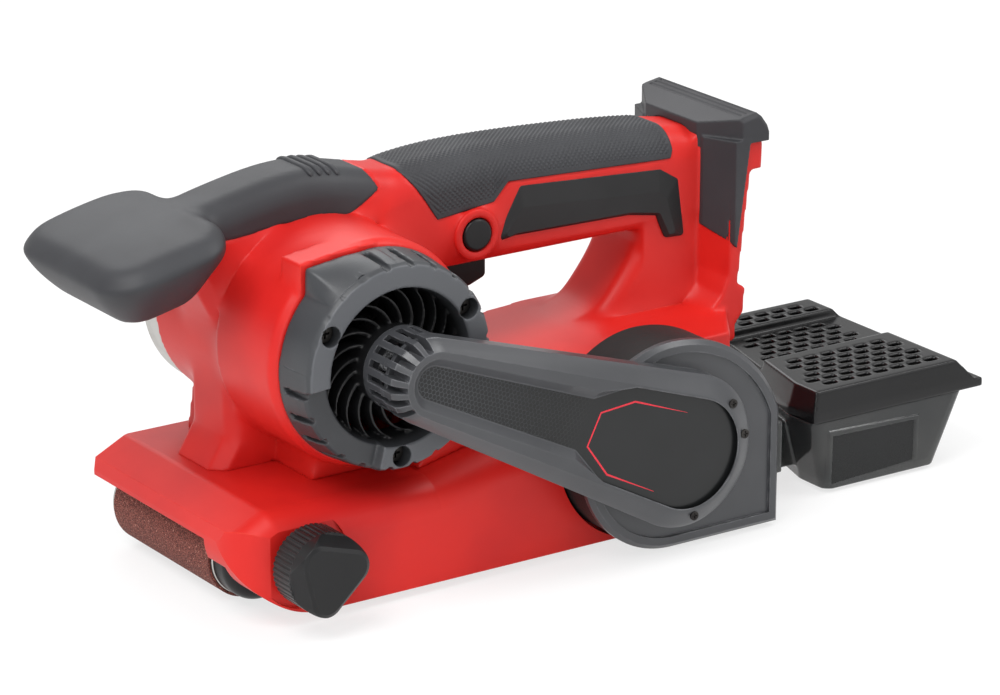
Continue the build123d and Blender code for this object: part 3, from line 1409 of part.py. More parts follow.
with BuildPart() as terminal_block:
    block((terminal_front, battery_slot_front + 3), (-terminal_half, terminal_half), (terminal_low, terminal_high))
    for blade in (-1, 0, 1):
        blade_y = blade * blade_pitch
        blade_span = (blade_y - 1.5, blade_y + 1.5)
        block((battery_slot_front, battery_slot_front + 4), blade_span, (terminal_low - 1, terminal_high + 1), Mode.SUBTRACT)
        blade_fit = (blade_y - 0.4, blade_y + 0.4)
        block((terminal_front + 1, battery_slot_front), blade_fit, (terminal_low + 6, terminal_high - 6), Mode.SUBTRACT)
save(terminal_block, "terminal_block")

with BuildPart() as terminal_blades:
    for blade in (-1, 0, 1):
        blade_fit = (blade * blade_pitch - 0.4, blade * blade_pitch + 0.4)
        block((terminal_front + 1, battery_slot_front + 5), blade_fit, (terminal_low + 6, terminal_high - 6))
save(terminal_blades, "terminal_blades")

# ----------------------------------------------------------------------------- switch, lock button and electronics
trigger_outline = [(18.5, handle_low + 1.5), (46.0, handle_low + 1.5), (46.0, 101.0), (38.0, 98.0), (25.0, 100.0)]
trigger_ear = 3.6

with BuildPart() as trigger:
    slab(trigger_outline, trigger_half, -trigger_half)
    fillet(trigger.edges().filter_by(Axis.Y).filter_by(lambda edge: edge.center().Z < handle_low - 2), 2.5)
    lower_rims = trigger.edges().filter_by(lambda edge: abs(edge.center().Y) > trigger_half - 0.1)
    fillet(lower_rims.filter_by(lambda edge: edge.center().Z < handle_low - 1), 1.2)
    slab(
        [
            (trigger_pin_x - trigger_ear, trigger_pin_z),
            (trigger_pin_x + trigger_ear, trigger_pin_z),
            (30.0, handle_low + 1),
            (18.5, handle_low + 1),
        ],
        trigger_half,
        -trigger_half,
    )
    round_bar(trigger_pin_x, trigger_pin_z, trigger_ear, trigger_half, -trigger_half)
    round_bar(trigger_pin_x, trigger_pin_z, trigger_pin_radius + running_fit, trigger_half, -trigger_half, Mode.SUBTRACT)
save(trigger, "trigger")

with BuildPart() as trigger_pin:
    round_bar(*trigger_seat, trigger_pin_half, -trigger_pin_half)
save(trigger_pin, "trigger_pin")

with BuildPart() as lock_button:
    round_bar(lock_x, lock_z, lock_radius, lock_inner, lock_face)
    fillet(lock_button.faces().sort_by(Axis.Y)[0].edges(), 1.2)
save(lock_button, "lock_button")

switch_low = 126.0

with BuildPart() as switch_module:
    block((20.0, 52.0), (-9.0, 9.0), (switch_low, cavity_high))
    block((52.0, 60.0), (-6.0, 6.0), (switch_low + 4, cavity_high))
    chamfer(switch_module.edges().filter_by(Axis.Z), 0.8)
save(switch_module, "switch_module")

with BuildPart() as control_board:
    block((136.0, 137.6), (-cavity_half, cavity_half), (64.0, 84.0))
    block((137.6, 143.0), (-8.0, 8.0), (67.0, 80.0))
    for y in (-7.0, 0.0, 7.0):
        with BuildSketch(Plane.YZ.offset(136.0)) as capacitor:
            with Locations((y, 74.0)):
                Circle(2.8)
        extrude(capacitor.sketch, amount=-7.0)
save(control_board, "control_board")

# ----------------------------------------------------------------------------- dust box
box_rim_z = 32.0
box_floor_z = 1.2
box_wall = 1.8
lid_top_z = 46.0
lid_valley_z = 42.0
lid_wall = 2.0
box_front = 165.0
box_rear = 247.0
box_near = -75.0
box_far = 28.0
lid_rear = 256.0
valley_near = -28.0
valley_far = 10.0
neck_gap = 0.5
neck_wall = 1.6
vent_pitch_x = 9.0
vent_pitch_y = 6.0
vent_length = 6.4
vent_width = 3.6
vent_last_x = 237.0
vent_margin = 7.0
vent_fields = ((-67.0, 6, 171.0, 8), (-25.0, 6, 180.0, 7), (15.0, 2, 189.0, 6))
hinge_x = 251.5
hinge_z = 28.0
hinge_radius = 3.2
hinge_pin_radius = 1.3
ear_width = 8.0
ear_places = (-52.0, 2.0)
lid_ear_places = (-43.5, -6.5)
duct_near = -54.0
duct_far = -36.0
duct_low = 9.0
duct_high = 26.0

box_rim = [(box_front, -58.0), (box_front, box_near), (box_rear, box_near), (box_rear, box_far), (190.0, box_far)]
box_floor = [(173.0, -57.0), (173.0, -74.4), (233.0, -74.4), (233.0, 21.0), (195.5, 21.0)]
lid_edge = [(box_front, -58.0), (box_front, box_near - 1), (lid_rear, box_near - 1), (lid_rear, 30.0), (189.0, 30.0)]
lid_shoulder = [(165.0, -59.0), (165.0, -76.0), (252.0, -76.0), (252.0, 30.0), (188.0, 30.0)]
lid_plateau = [(167.0, -60.0), (167.0, -74.5), (242.0, -74.5), (242.0, 28.0), (188.0, 28.0)]


def plan_face(points, z, inset=0.0, corner=0.0):
    """Sketch of a plan outline at a height, drawn in by an inset, with rounded corners if asked."""
    with BuildSketch(Plane.XY.offset(z)) as plan:
        with BuildLine():
            Polyline(*points, close=True)
        make_face()
        if inset:
            offset(amount=-inset, kind=Kind.INTERSECTION)
        if corner:
            fillet(plan.vertices(), corner)
    return plan.sketch


def neck(grow):
    """Inlet neck: a short sleeve over the fan housing's outlet, then a duct that slants into the box."""
    sleeve_y = (outlet_near - neck_gap - grow, outlet_far + neck_gap + grow)
    sleeve_z = (outlet_low - neck_gap - grow, outlet_high + neck_gap + grow)
    sleeve_start = outlet_x + 3.0
    sleeve_end = outlet_x + outlet_length + 0.5
    duct_y = (duct_near - grow, duct_far + grow)
    duct_z = (duct_low - grow, duct_high + grow)
    duct_end = box_front + 20.0
    with BuildPart() as body:
        block((sleeve_start - (0.0 if grow else 1.0), sleeve_end), sleeve_y, sleeve_z)
        block((box_front - 1, duct_end), duct_y, duct_z)
        with BuildSketch(Plane.YZ.offset(sleeve_end)) as start:
            with Locations(((sleeve_y[0] + sleeve_y[1]) / 2, (sleeve_z[0] + sleeve_z[1]) / 2)):
                Rectangle(sleeve_y[1] - sleeve_y[0], sleeve_z[1] - sleeve_z[0])
        with BuildSketch(Plane.YZ.offset(box_front - 1)) as end:
            with Locations(((duct_y[0] + duct_y[1]) / 2, (duct_z[0] + duct_z[1]) / 2)):
                Rectangle(duct_y[1] - duct_y[0], duct_z[1] - duct_z[0])
        loft([start.sketch, end.sketch], ruled=True)
    return body.part


with BuildPart() as dust_box:
    loft([plan_face(box_floor, box_floor_z, 0, 5.0), plan_face(box_rim, box_rim_z, 0, 5.0)], ruled=True)
    add(neck(neck_wall))
    add(neck(0.0), mode=Mode.SUBTRACT)
    for ear_near in ear_places:
        ear_root = box_rear - 6.0
        ear_high = hinge_z + hinge_radius
        ear = [(ear_root, hinge_z - 8), (ear_root, ear_high), (hinge_x, ear_high), (hinge_x, hinge_z - hinge_radius)]
        slab(ear, ear_near + ear_width, ear_near)
        round_bar(hinge_x, hinge_z, hinge_radius, ear_near + ear_width, ear_near)
        round_bar(hinge_x, hinge_z, hinge_pin_radius, ear_near + ear_width, ear_near, Mode.SUBTRACT)
    inner_floor = plan_face(box_floor, box_floor_z + box_wall, box_wall, 3.5)
    inner_rim = plan_face(box_rim, box_rim_z, box_wall, 3.5)
    loft([inner_floor, inner_rim], ruled=True, mode=Mode.SUBTRACT)
save(dust_box, "dust_box")

def lid_hollow():
    """Space under the lid, as deep as its plateau and valley allow."""
    with BuildPart() as body:
        hollow_low = plan_face(box_rim, box_rim_z - 1, lid_wall)
        hollow_high = plan_face(lid_plateau, lid_top_z - lid_wall, lid_wall + 0.5)
        loft([hollow_low, hollow_high], ruled=True)
        valley_block = (valley_near - lid_wall, valley_far + lid_wall)
        block((100, 300), valley_block, (lid_valley_z - lid_wall, lid_top_z), Mode.SUBTRACT)
    return body.part


with BuildPart() as dust_lid:
    extrude(plan_face(lid_edge, box_rim_z), amount=4.0)
    loft([plan_face(lid_shoulder, box_rim_z + 4), plan_face(lid_plateau, lid_top_z)], ruled=True)
    block((100, 300), (valley_near, valley_far), (lid_valley_z, lid_top_z + 1), Mode.SUBTRACT)
    add(lid_hollow(), mode=Mode.SUBTRACT)
    front_lean = (lid_plateau[-1][0] - lid_plateau[0][0]) / (lid_plateau[-1][1] - lid_plateau[0][1])
    with BuildSketch(Plane.XY.offset(lid_valley_z - lid_wall - 1)) as grille:
        for first_y, rows, first_x, columns in vent_fields:
            for row in range(rows):
                for column in range(columns):
                    hole_x = first_x + vent_pitch_x * (column + 0.5 * (row % 2))
                    hole_y = first_y + vent_pitch_y * row
                    front_x = lid_plateau[0][0] + (hole_y - lid_plateau[0][1]) * front_lean
                    if front_x + vent_margin < hole_x < vent_last_x:
                        with Locations((hole_x, hole_y)):
                            Rectangle(vent_length, vent_width)
    extrude(grille.sketch, amount=lid_top_z - lid_valley_z + lid_wall + 2, mode=Mode.SUBTRACT)
    for ear_near in lid_ear_places:
        ear_far = ear_near + ear_width
        block((hinge_x - 2.4, hinge_x + 2.4), (ear_near, ear_far), (hinge_z, box_rim_z + 0.5))
        round_bar(hinge_x, hinge_z, hinge_radius, ear_far, ear_near)
        round_bar(hinge_x, hinge_z, hinge_pin_radius + running_fit, ear_far, ear_near, Mode.SUBTRACT)
save(dust_lid, "dust_lid")

with BuildPart() as lid_hinge_pin:
    round_bar(hinge_x, hinge_z, hinge_pin_radius, 10.0, -52.0)
save(lid_hinge_pin, "lid_hinge_pin")

filter_outline = [(178.0, -62.0), (178.0, -66.0), (236.0, -66.0), (236.0, 16.0), (198.0, 16.0)]
filter_low = 34.0
filter_high = lid_valley_z - lid_wall
pleat_pitch = 6.0
pleat_count = 14
filter_near = -66.0

def pleated_paper():
    """Zigzag sheet that fills the filter's frame."""
    fold = []
    for step in range(pleat_count * 2):
        fold.append((filter_near + step * pleat_pitch / 2, filter_low if step % 2 else filter_high - 1.2))
    back = [(y, z + 1.1) for y, z in reversed(fold)]
    with BuildPart() as body:
        with BuildSketch(Plane.YZ.offset(box_front)) as zigzag:
            with BuildLine():
                Polyline(*fold, *back, close=True)
            make_face()
        extrude(zigzag.sketch, amount=box_rear - box_front)
        extrude(plan_face(filter_outline, filter_low, 2.0), amount=filter_high - filter_low, mode=Mode.INTERSECT)
    return body.part


with BuildPart() as dust_filter:
    extrude(plan_face(filter_outline, filter_low), amount=filter_high - filter_low)
    extrude(plan_face(filter_outline, filter_low, 3.0), amount=filter_high - filter_low, mode=Mode.SUBTRACT)
    add(pleated_paper())
save(dust_filter, "dust_filter")

with BuildPart() as cover_screws:
    for angle in cover_screw_angles:
        screw = polar(fan_axis_x, fan_axis_z, cover_screw_circle, angle)
        round_bar(*screw, cover_screw_radius, arm_face + cover_screw_depth, arm_face + 0.2)
        with BuildSketch(side_plane(arm_face + 0.2)) as slot:
            with Locations(screw):
                Rectangle(0.6, 2.4)
                Rectangle(2.4, 0.6)
        extrude(slot.sketch, amount=-0.5, mode=Mode.SUBTRACT)
save(cover_screws, "cover_screws")
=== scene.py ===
"""Handheld belt sander: finishes, soft mouldings, camera and light.

Everything is in metres in the frame of the solid model: +X to the battery, +Y to the far side, +Z up.
"""

import bmesh
import bpy
import numpy as np
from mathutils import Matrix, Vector


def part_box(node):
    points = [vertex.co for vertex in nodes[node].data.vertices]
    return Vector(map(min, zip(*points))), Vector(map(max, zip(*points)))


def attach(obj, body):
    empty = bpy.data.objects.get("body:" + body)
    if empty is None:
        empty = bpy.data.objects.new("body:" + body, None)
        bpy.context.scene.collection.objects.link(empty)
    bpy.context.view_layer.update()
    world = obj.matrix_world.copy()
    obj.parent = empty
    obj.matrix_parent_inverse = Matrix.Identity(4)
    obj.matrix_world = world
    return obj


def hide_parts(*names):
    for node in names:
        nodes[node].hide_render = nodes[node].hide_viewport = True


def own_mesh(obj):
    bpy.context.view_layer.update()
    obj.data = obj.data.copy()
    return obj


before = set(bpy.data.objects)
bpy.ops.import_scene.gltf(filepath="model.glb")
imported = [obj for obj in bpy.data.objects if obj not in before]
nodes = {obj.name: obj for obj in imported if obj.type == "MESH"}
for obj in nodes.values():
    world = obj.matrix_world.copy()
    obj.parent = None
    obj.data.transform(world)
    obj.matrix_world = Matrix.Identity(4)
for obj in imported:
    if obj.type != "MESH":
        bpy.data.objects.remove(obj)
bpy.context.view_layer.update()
finishes = {}

# The motor and the fan turn about lines along Y, given here by their X and Z. The arm joins the two.
motor_axis = np.array([-0.0408, 0.098])
fan_axis = np.array([0.081143, 0.045])
arm_front_radius = 0.0175
arm_rear_radius = 0.032
arm_length = float(np.hypot(*(fan_axis - motor_axis)))
arm_heading = float(np.arctan2(fan_axis[1] - motor_axis[1], fan_axis[0] - motor_axis[0]))
arm_spread = float(np.arccos((arm_front_radius - arm_rear_radius) / arm_length))


# ------------------------------------------------------------------ shader sums
class Value:
    """A shader socket that takes part in sums: each operator adds its Math node."""

    def __init__(self, graph, socket):
        self.graph = graph
        self.socket = socket

    def math(self, operation, *others):
        return self.graph.math(operation, self, *others)

    def __add__(self, other):
        return self.math("ADD", other)

    __radd__ = __add__

    def __sub__(self, other):
        return self.math("SUBTRACT", other)

    def __rsub__(self, other):
        return self.graph.math("SUBTRACT", other, self)

    def __mul__(self, other):
        return self.math("MULTIPLY", other)

    __rmul__ = __mul__

    def __truediv__(self, other):
        return self.math("DIVIDE", other)

    def __abs__(self):
        return self.math("ABSOLUTE")

    def rise(self, low, high):
        """0 below low, 1 above high and an S-curve between them."""
        settings = {"interpolation_type": "SMOOTHSTEP"}
        sockets = {"Value": self, "From Min": low, "From Max": high}
        return self.graph.node("ShaderNodeMapRange", settings, sockets)["Result"]


class Outputs:
    """The output sockets of one node, by name or number."""

    def __init__(self, graph, made):
        self.graph = graph
        self.made = made

    def __getitem__(self, key):
        return Value(self.graph, self.made.outputs[key])


class Graph:
    """A tree of shader nodes, for a material or the world."""

    def __init__(self, tree):
        self.tree = tree

    def feed(self, socket, value):
        if isinstance(value, Value):
            self.tree.links.new(value.socket, socket)
        else:
            socket.default_value = value

    def node(self, kind, settings=None, sockets=None):
        """Adds a node, with its settings first and then the values or links of its sockets."""
        made = self.tree.nodes.new(kind)
        for name, value in (settings or {}).items():
            setattr(made, name, value)
        for key, value in (sockets or {}).items():
            self.feed(made.inputs[key], value)
        return Outputs(self, made)

    def math(self, operation, *values):
        return self.node("ShaderNodeMath", {"operation": operation}, dict(enumerate(values)))[0]


class Finish(Graph):
    """One material of the tool: a Principled shader and the nodes that vary it over the surface."""

    def __init__(self, name, colour, roughness, metallic=0.0, gloss=0.5):
        self.material = bpy.data.materials.new(name)
        self.material.use_nodes = True
        super().__init__(self.material.node_tree)
        self.shader = self.tree.nodes["Principled BSDF"]
        self.place = self.node("ShaderNodeTexCoord")["Object"]
        self.set({"Base Color": colour, "Roughness": roughness})
        self.set({"Metallic": metallic, "Specular IOR Level": gloss})
        finishes[name] = self

    def set(self, sockets):
        for name, value in sockets.items():
            self.feed(self.shader.inputs[name], value)

    def painted(self):
        """What feeds the base colour so far."""
        return Value(self, self.shader.inputs["Base Color"].links[0].from_socket)

    def mix(self, share, first, second):
        """The first colour where share is 0 and the second where it is 1."""
        sockets = {0: share, 6: first, 7: second}
        return self.node("ShaderNodeMix", {"data_type": "RGBA"}, sockets)[2]

    def axes(self):
        split = self.node("ShaderNodeSeparateXYZ", {}, {0: self.place})
        return split["X"], split["Y"], split["Z"]

    def noise(self, size, detail=2.0, stretch=None):
        """Noise from 0 to 1 whose lumps are about size wide, in metres."""
        place = self.place
        if stretch:
            place = self.node("ShaderNodeMapping", {}, {"Vector": place, "Scale": stretch})[0]
        sockets = {"Vector": place, "Scale": 1 / size, "Detail": detail}
        return self.node("ShaderNodeTexNoise", {}, sockets)["Fac"]

    def cells(self, size):
        """Distance to the nearest of many scattered points that lie about size apart."""
        sockets = {"Vector": self.place, "Scale": 1 / size}
        return self.node("ShaderNodeTexVoronoi", {}, sockets)["Distance"]

    def rounded(self, radius):
        """The normal that the surface has if its sharp edges are rounded by the radius."""
        return self.node("ShaderNodeBevel", {"samples": 4}, {"Radius": radius})["Normal"]

    def edges(self, radius):
        """1 on a sharp edge and 0 on an open face: how far the normal turns within the radius."""
        plain = self.node("ShaderNodeNewGeometry")["Normal"]
        sockets = {0: self.rounded(radius), 1: plain}
        facing = self.node("ShaderNodeVectorMath", {"operation": "DOT_PRODUCT"}, sockets)["Value"]
        return (1 - facing).rise(0.01, 0.2)

    def bump(self, height, depth, soften=0.0):
        """Tilts the normal by a height field that is depth metres deep; soften rounds sharp edges."""
        sockets = {"Strength": 1.0, "Distance": depth, "Height": height}
        if soften:
            sockets["Normal"] = self.rounded(soften)
        self.set({"Normal": self.node("ShaderNodeBump", {}, sockets)["Normal"]})


def paint(red, green, blue):
    """A colour written as 0 to 255 display values, as the linear colour that a shader takes."""
    display = np.array([red, green, blue]) / 255
    linear = np.where(display <= 0.04045, display / 12.92, ((display + 0.055) / 1.055) ** 2.4)
    return (*linear.tolist(), 1.0)


# ------------------------------------------------------------------ finishes
def moulded(name, plain, shade, worn, roughness, grain, depth, soften=0.0004, gloss=0.3):
    """Moulded plastic or rubber: cloudy colour, a fine grain and edges rubbed a little paler.

    The grain is grain metres wide and depth metres deep. The three colours are display values.
    """
    made = Finish(name, paint(*plain), roughness, 0.0, gloss)
    clouds = made.noise(0.045, 3.0)
    speckle = made.noise(grain, 2.0)
    edge = made.edges(0.0009) * made.noise(0.006, 3.0).rise(0.35, 0.65)
    body = made.mix(clouds.rise(0.35, 0.75), paint(*plain), paint(*shade))
    made.set({"Base Color": made.mix(edge * 0.6, body, paint(*worn))})
    made.set({"Roughness": roughness + 0.1 * (speckle - 0.5) + 0.08 * (clouds - 0.5) - 0.06 * edge})
    made.bump(speckle, depth, soften)
    return made


def metal(name, plain, shade, roughness, streak, depth=0.000004):
    """Turned or ground metal: fine streaks along one way, with faint duller patches."""
    made = Finish(name, paint(*plain), roughness, 1.0)
    lines = made.noise(0.0006, 2.0, streak)
    patches = made.noise(0.012, 3.0)
    made.set({"Base Color": made.mix(patches.rise(0.4, 0.8), paint(*plain), paint(*shade))})
    made.set({"Roughness": roughness + 0.15 * (lines - 0.5) + 0.1 * (patches - 0.5)})
    made.bump(lines, depth, 0.0002)


def abrasive():
    """Grit bonded to cloth: sharp brown-red grains with dark gaps, and a few pale flecks painted on as glints
    off grain facets.
    """
    made = Finish("abrasive_cloth", paint(128, 62, 50), 0.8)
    grains = made.cells(0.00052)
    glint_flecks = made.noise(0.0008, 3.0)
    body = made.mix(grains.rise(0.1, 0.6), paint(164, 92, 76), paint(84, 38, 32))
    # Painted glints: a few pale flecks stand in for light caught on grain facets.
    body = made.mix(glint_flecks.rise(0.62, 0.72), body, paint(206, 150, 132))
    made.set({"Base Color": body, "Roughness": 0.72 + 0.25 * grains})
    made.bump(1 - grains, 0.0003)


def smoked():
    """Clear plastic tinted dark grey: glossy, a little see-through, with dust settled low down."""
    tint, dusty = paint(40, 42, 43), paint(78, 77, 74)
    made = Finish("smoked_clear", tint, 0.14, 0.0, 0.55)
    low = 1 - made.axes()[2].rise(0.002, 0.030)
    dust = made.noise(0.030, 3.0).rise(0.3, 0.9) * (0.25 + 0.5 * low)
    made.set({"Base Color": made.mix(dust, tint, dusty)})
    made.set({"Roughness": 0.12 + 0.14 * dust, "Alpha": 0.84 + 0.12 * dust})
    made.bump(made.noise(0.004, 2.0), 0.00001, 0.0004)


def end_cap():
    """Dark grey cap whose front ring face is painted paler all over and whose finned hollow is painted near
    black as shade.

    The hollow lies between the hub and the ring, deeper than the cap's face. Its near black is painted shade,
    not the plastic's own colour. The ring is the face itself.
    """
    made = moulded(
        "cap_plastic", (58, 60, 63), (48, 49, 52), (120, 122, 126), 0.42, 0.0006, 0.00004, 0.0003, 0.45
    )
    along_x, station, along_z = made.axes()
    over, up = along_x - float(motor_axis[0]), along_z - float(motor_axis[1])
    reach = (over * over + up * up).math("SQRT")
    between = (1 - reach.rise(0.0305, 0.0318)) * reach.rise(0.0148, 0.0158)
    # Painted shade: the finned hollow between hub and ring is painted near black below, where shade falls in
    # it.
    shaded_recess = between * station.rise(-0.0800, -0.0790)
    ring = (1 - station.rise(-0.0798, -0.0792)) * (1 - shaded_recess)
    # The ring, the cap's front face, is painted paler all over.
    body = made.mix(ring * 0.8, made.painted(), paint(86, 88, 92))
    made.set({"Base Color": made.mix(shaded_recess * 0.9, body, paint(13, 13, 14))})


def hexagon(first, second):
    """How far a point lies from the middle of its own cell in a grid of six-sided cells, 0.5 at the walls."""
    first = abs(first.math("FLOORED_MODULO", 1.0) - 0.5)
    second = abs(second.math("FLOORED_MODULO", 3**0.5) - 0.5 * 3**0.5)
    return first.math("MAXIMUM", first * 0.5 + second * (0.5 * 3**0.5))


def panel_mesh():
    """Gloss black panel: fine six-sided cells with paler walls, which die out before the broad end.

    Two grids of cells, half a cell apart, make the mesh: along runs down the arm and aside across it.
    """
    made = moulded(
        "panel_mesh", (24, 25, 26), (19, 20, 20), (66, 68, 68), 0.28, 0.001, 0.000006, 0.0003, 0.4
    )
    along_x, _, along_z = made.axes()
    over, up = along_x - float(motor_axis[0]), along_z - float(motor_axis[1])
    turn_x, turn_z = float(np.cos(arm_heading)), float(np.sin(arm_heading))
    along = over * turn_x + up * turn_z
    aside = up * turn_x - over * turn_z
    pitch = 0.0019
    first = hexagon(along / pitch, aside / pitch)
    second = hexagon(along / pitch + 0.5, aside / pitch + 0.5 * 3**0.5)
    fade = 1 - along.rise(0.050, 0.082)
    front = 1 - along.rise(-0.004, 0.060)
    lines = first.math("MINIMUM", second).rise(0.40, 0.46) * fade
    body = made.mix(lines * (0.3 + 0.45 * front), made.painted(), paint(84, 86, 90))
    made.set({"Base Color": body, "Roughness": 0.28 + 0.2 * lines})
    made.bump(lines, 0.00025, 0.0003)


moulded("red_housing", (202, 35, 29), (188, 29, 27), (222, 70, 50), 0.4, 0.0004, 0.00001, 0.0004, 0.24)
moulded("grey_plastic", (64, 65, 68), (57, 58, 61), (132, 133, 137), 0.33, 0.0005, 0.00003, 0.0003, 0.5)
moulded("drum_black", (36, 35, 35), (27, 26, 26), (78, 76, 74), 0.55, 0.0008, 0.00008)
moulded("black_plastic", (27, 27, 28), (21, 21, 22), (76, 77, 79), 0.34, 0.0005, 0.00002)
moulded("lid_black", (18, 18, 19), (14, 14, 15), (80, 81, 83), 0.24, 0.0006, 0.000012, 0.0003, 0.36)
moulded("gloss_black", (24, 25, 26), (19, 20, 20), (66, 68, 68), 0.26, 0.001, 0.000006)
moulded("soft_grip", (56, 57, 60), (48, 48, 51), (84, 84, 87), 0.5, 0.0005, 0.00003)
moulded("black_rubber", (34, 34, 35), (27, 27, 28), (66, 66, 68), 0.48, 0.0005, 0.00002)
moulded("bumper_rubber", (54, 54, 57), (46, 46, 49), (92, 92, 95), 0.5, 0.0005, 0.00003)
moulded("roller_rubber", (28, 28, 28), (20, 20, 20), (70, 66, 60), 0.7, 0.0008, 0.00004)
moulded("board_green", (30, 92, 52), (22, 70, 40), (120, 150, 110), 0.4, 0.0004, 0.00001)
moulded("filter_paper", (62, 60, 57), (50, 48, 46), (92, 90, 86), 0.85, 0.0004, 0.00006)
moulded("graphite_pad", (52, 52, 54), (38, 38, 40), (92, 92, 94), 0.5, 0.0003, 0.00003)
moulded("red_line", (214, 44, 60), (204, 38, 54), (220, 70, 80), 0.4, 0.0005, 0.00001)
metal("cast_aluminium", (196, 194, 190), (168, 166, 162), 0.42, (1, 1, 1))
metal("spring_steel", (120, 120, 122), (92, 92, 96), 0.34, (1, 6, 1))
metal("bright_steel", (205, 206, 208), (176, 176, 178), 0.22, (6, 0.3, 6))
metal("dark_steel", (66, 64, 62), (44, 42, 42), 0.4, (1, 1, 1))
metal("gear_steel", (152, 150, 148), (116, 112, 108), 0.36, (4, 0.4, 4))
metal("copper_wire", (190, 104, 62), (150, 72, 40), 0.32, (1, 8, 1), 0.00002)
metal("contact_brass", (206, 170, 92), (176, 138, 66), 0.28, (1, 1, 4))
metal("laminated_iron", (104, 102, 102), (80, 76, 74), 0.5, (0.2, 9, 0.2), 0.00003)
end_cap()
panel_mesh()
abrasive()
smoked()

for node in nodes.values():
    for place in node.material_slots:
        place.link = "OBJECT"
        place.material = finishes[node.data.materials[0].name].material


def grid_faces(rows, columns, closed=False):
    """Quads between neighbouring points of a grid. Closed joins each row's last point to its first."""
    steps = columns if closed else columns - 1
    row, column = np.meshgrid(np.arange(rows - 1), np.arange(steps), indexing="ij")
    after = (column + 1) % columns
    here, below = row * columns, (row + 1) * columns
    corners = [here + column, here + after, below + after, below + column]
    return np.stack(corners, axis=-1).reshape(-1, 4)


def add_piece(name, points, faces, finish, body="root", stands_for=(), sharp=40.0):
    """Puts a computed surface into the scene, riding on a body, in place of the solids it stands for.

    Edges that turn by more than sharp degrees keep their crease in the shading.
    """
    mesh = bpy.data.meshes.new(name)
    mesh.from_pydata(np.reshape(points, (-1, 3)).tolist(), [], np.asarray(faces).tolist())
    mesh.materials.append(finishes[finish].material)
    mesh.shade_smooth()
    mesh.set_sharp_from_angle(angle=np.radians(sharp))
    made = bpy.data.objects.new(name, mesh)
    bpy.context.scene.collection.objects.link(made)
    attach(made, body)
    if stands_for:
        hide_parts(*stands_for)
    return made


def smoothstep(value, low, high):
    """0 below low, 1 above high and an S-curve between, for whole arrays."""
    share = np.clip((value - low) / (high - low), 0.0, 1.0)
    return share * share * (3.0 - 2.0 * share)


def neighbour_mean(points, ends):
    """Mean place of each point's neighbours along the mesh's edges."""
    both = np.concatenate([ends, ends[:, ::-1]])
    count = np.bincount(both[:, 0], minlength=len(points))
    sums = [np.bincount(both[:, 0], points[both[:, 1], axis], len(points)) for axis in range(3)]
    return np.stack(sums, axis=1) / count[:, None]


def point_normals(points, quads):
    """Outward unit normal at each point, from the cross products of its quads' diagonals."""
    first, second, third, fourth = (points[quads[:, corner]] for corner in range(4))
    across = np.cross(third - first, fourth - second)
    sums = np.zeros_like(points)
    for corner in range(4):
        for axis in range(3):
            sums[:, axis] += np.bincount(quads[:, corner], across[:, axis], len(points))
    return sums / np.maximum(np.linalg.norm(sums, axis=1), 1e-12)[:, None]


def read_whole(owner, name, width, kind=float):
    """One property of every vertex, edge or corner of a mesh, as rows of the given width."""
    values = np.empty(len(owner) * width, dtype=kind)
    owner.foreach_get(name, values)
    return values.reshape(-1, width)


def even_skin(node_names, voxel):
    """The named solids joined and drawn over with even quads of the voxel size: points, edge ends, quads."""
    gathered = bmesh.new()
    for node_name in node_names:
        gathered.from_mesh(nodes[node_name].data)
    bmesh.ops.remove_doubles(gathered, verts=gathered.verts, dist=0.000002)
    rough = bpy.data.meshes.new("rough")
    gathered.to_mesh(rough)
    gathered.free()
    holder = bpy.data.objects.new("rough", rough)
    bpy.context.scene.collection.objects.link(holder)
    cover = holder.modifiers.new("cover", "REMESH")
    cover.mode = "VOXEL"
    cover.voxel_size = voxel
    graph = bpy.context.evaluated_depsgraph_get()
    skin = bpy.data.meshes.new_from_object(holder.evaluated_get(graph))
    bpy.data.objects.remove(holder)
    points = read_whole(skin.vertices, "co", 3)
    ends = read_whole(skin.edges, "vertices", 2, np.int64)
    return points, ends, read_whole(skin.loops, "vertex_index", 1, np.int64).reshape(-1, 4)


def soften(points, ends, rounds, share=1.0):
    """Each round moves every point half of its share of the way to its neighbours' mean."""
    share = np.broadcast_to(share, len(points))[:, None]
    for _ in range(rounds):
        points = points + 0.5 * share * (neighbour_mean(points, ends) - points)
    return points


def relax(points, ends, rounds):
    """Each round moves every point half way to its neighbours' mean and slightly more than half way back."""
    for _ in range(rounds):
        points = points + 0.5 * (neighbour_mean(points, ends) - points)
        points = points - 0.52 * (neighbour_mean(points, ends) - points)
    return points


def fill_creases(points, ends, quads, rounds, share):
    """Raises only points that lie below their neighbours' mean, so that hollow corners turn into coves.

    A point moves along its normal, by its share of that depth. The normals are worked out every five rounds.
    """
    for step in range(rounds):
        if step % 5 == 0:
            normals = point_normals(points, quads)
        depth = np.sum((neighbour_mean(points, ends) - points) * normals, axis=1)
        points = points + (share * np.maximum(depth, 0.0))[:, None] * normals
    return points


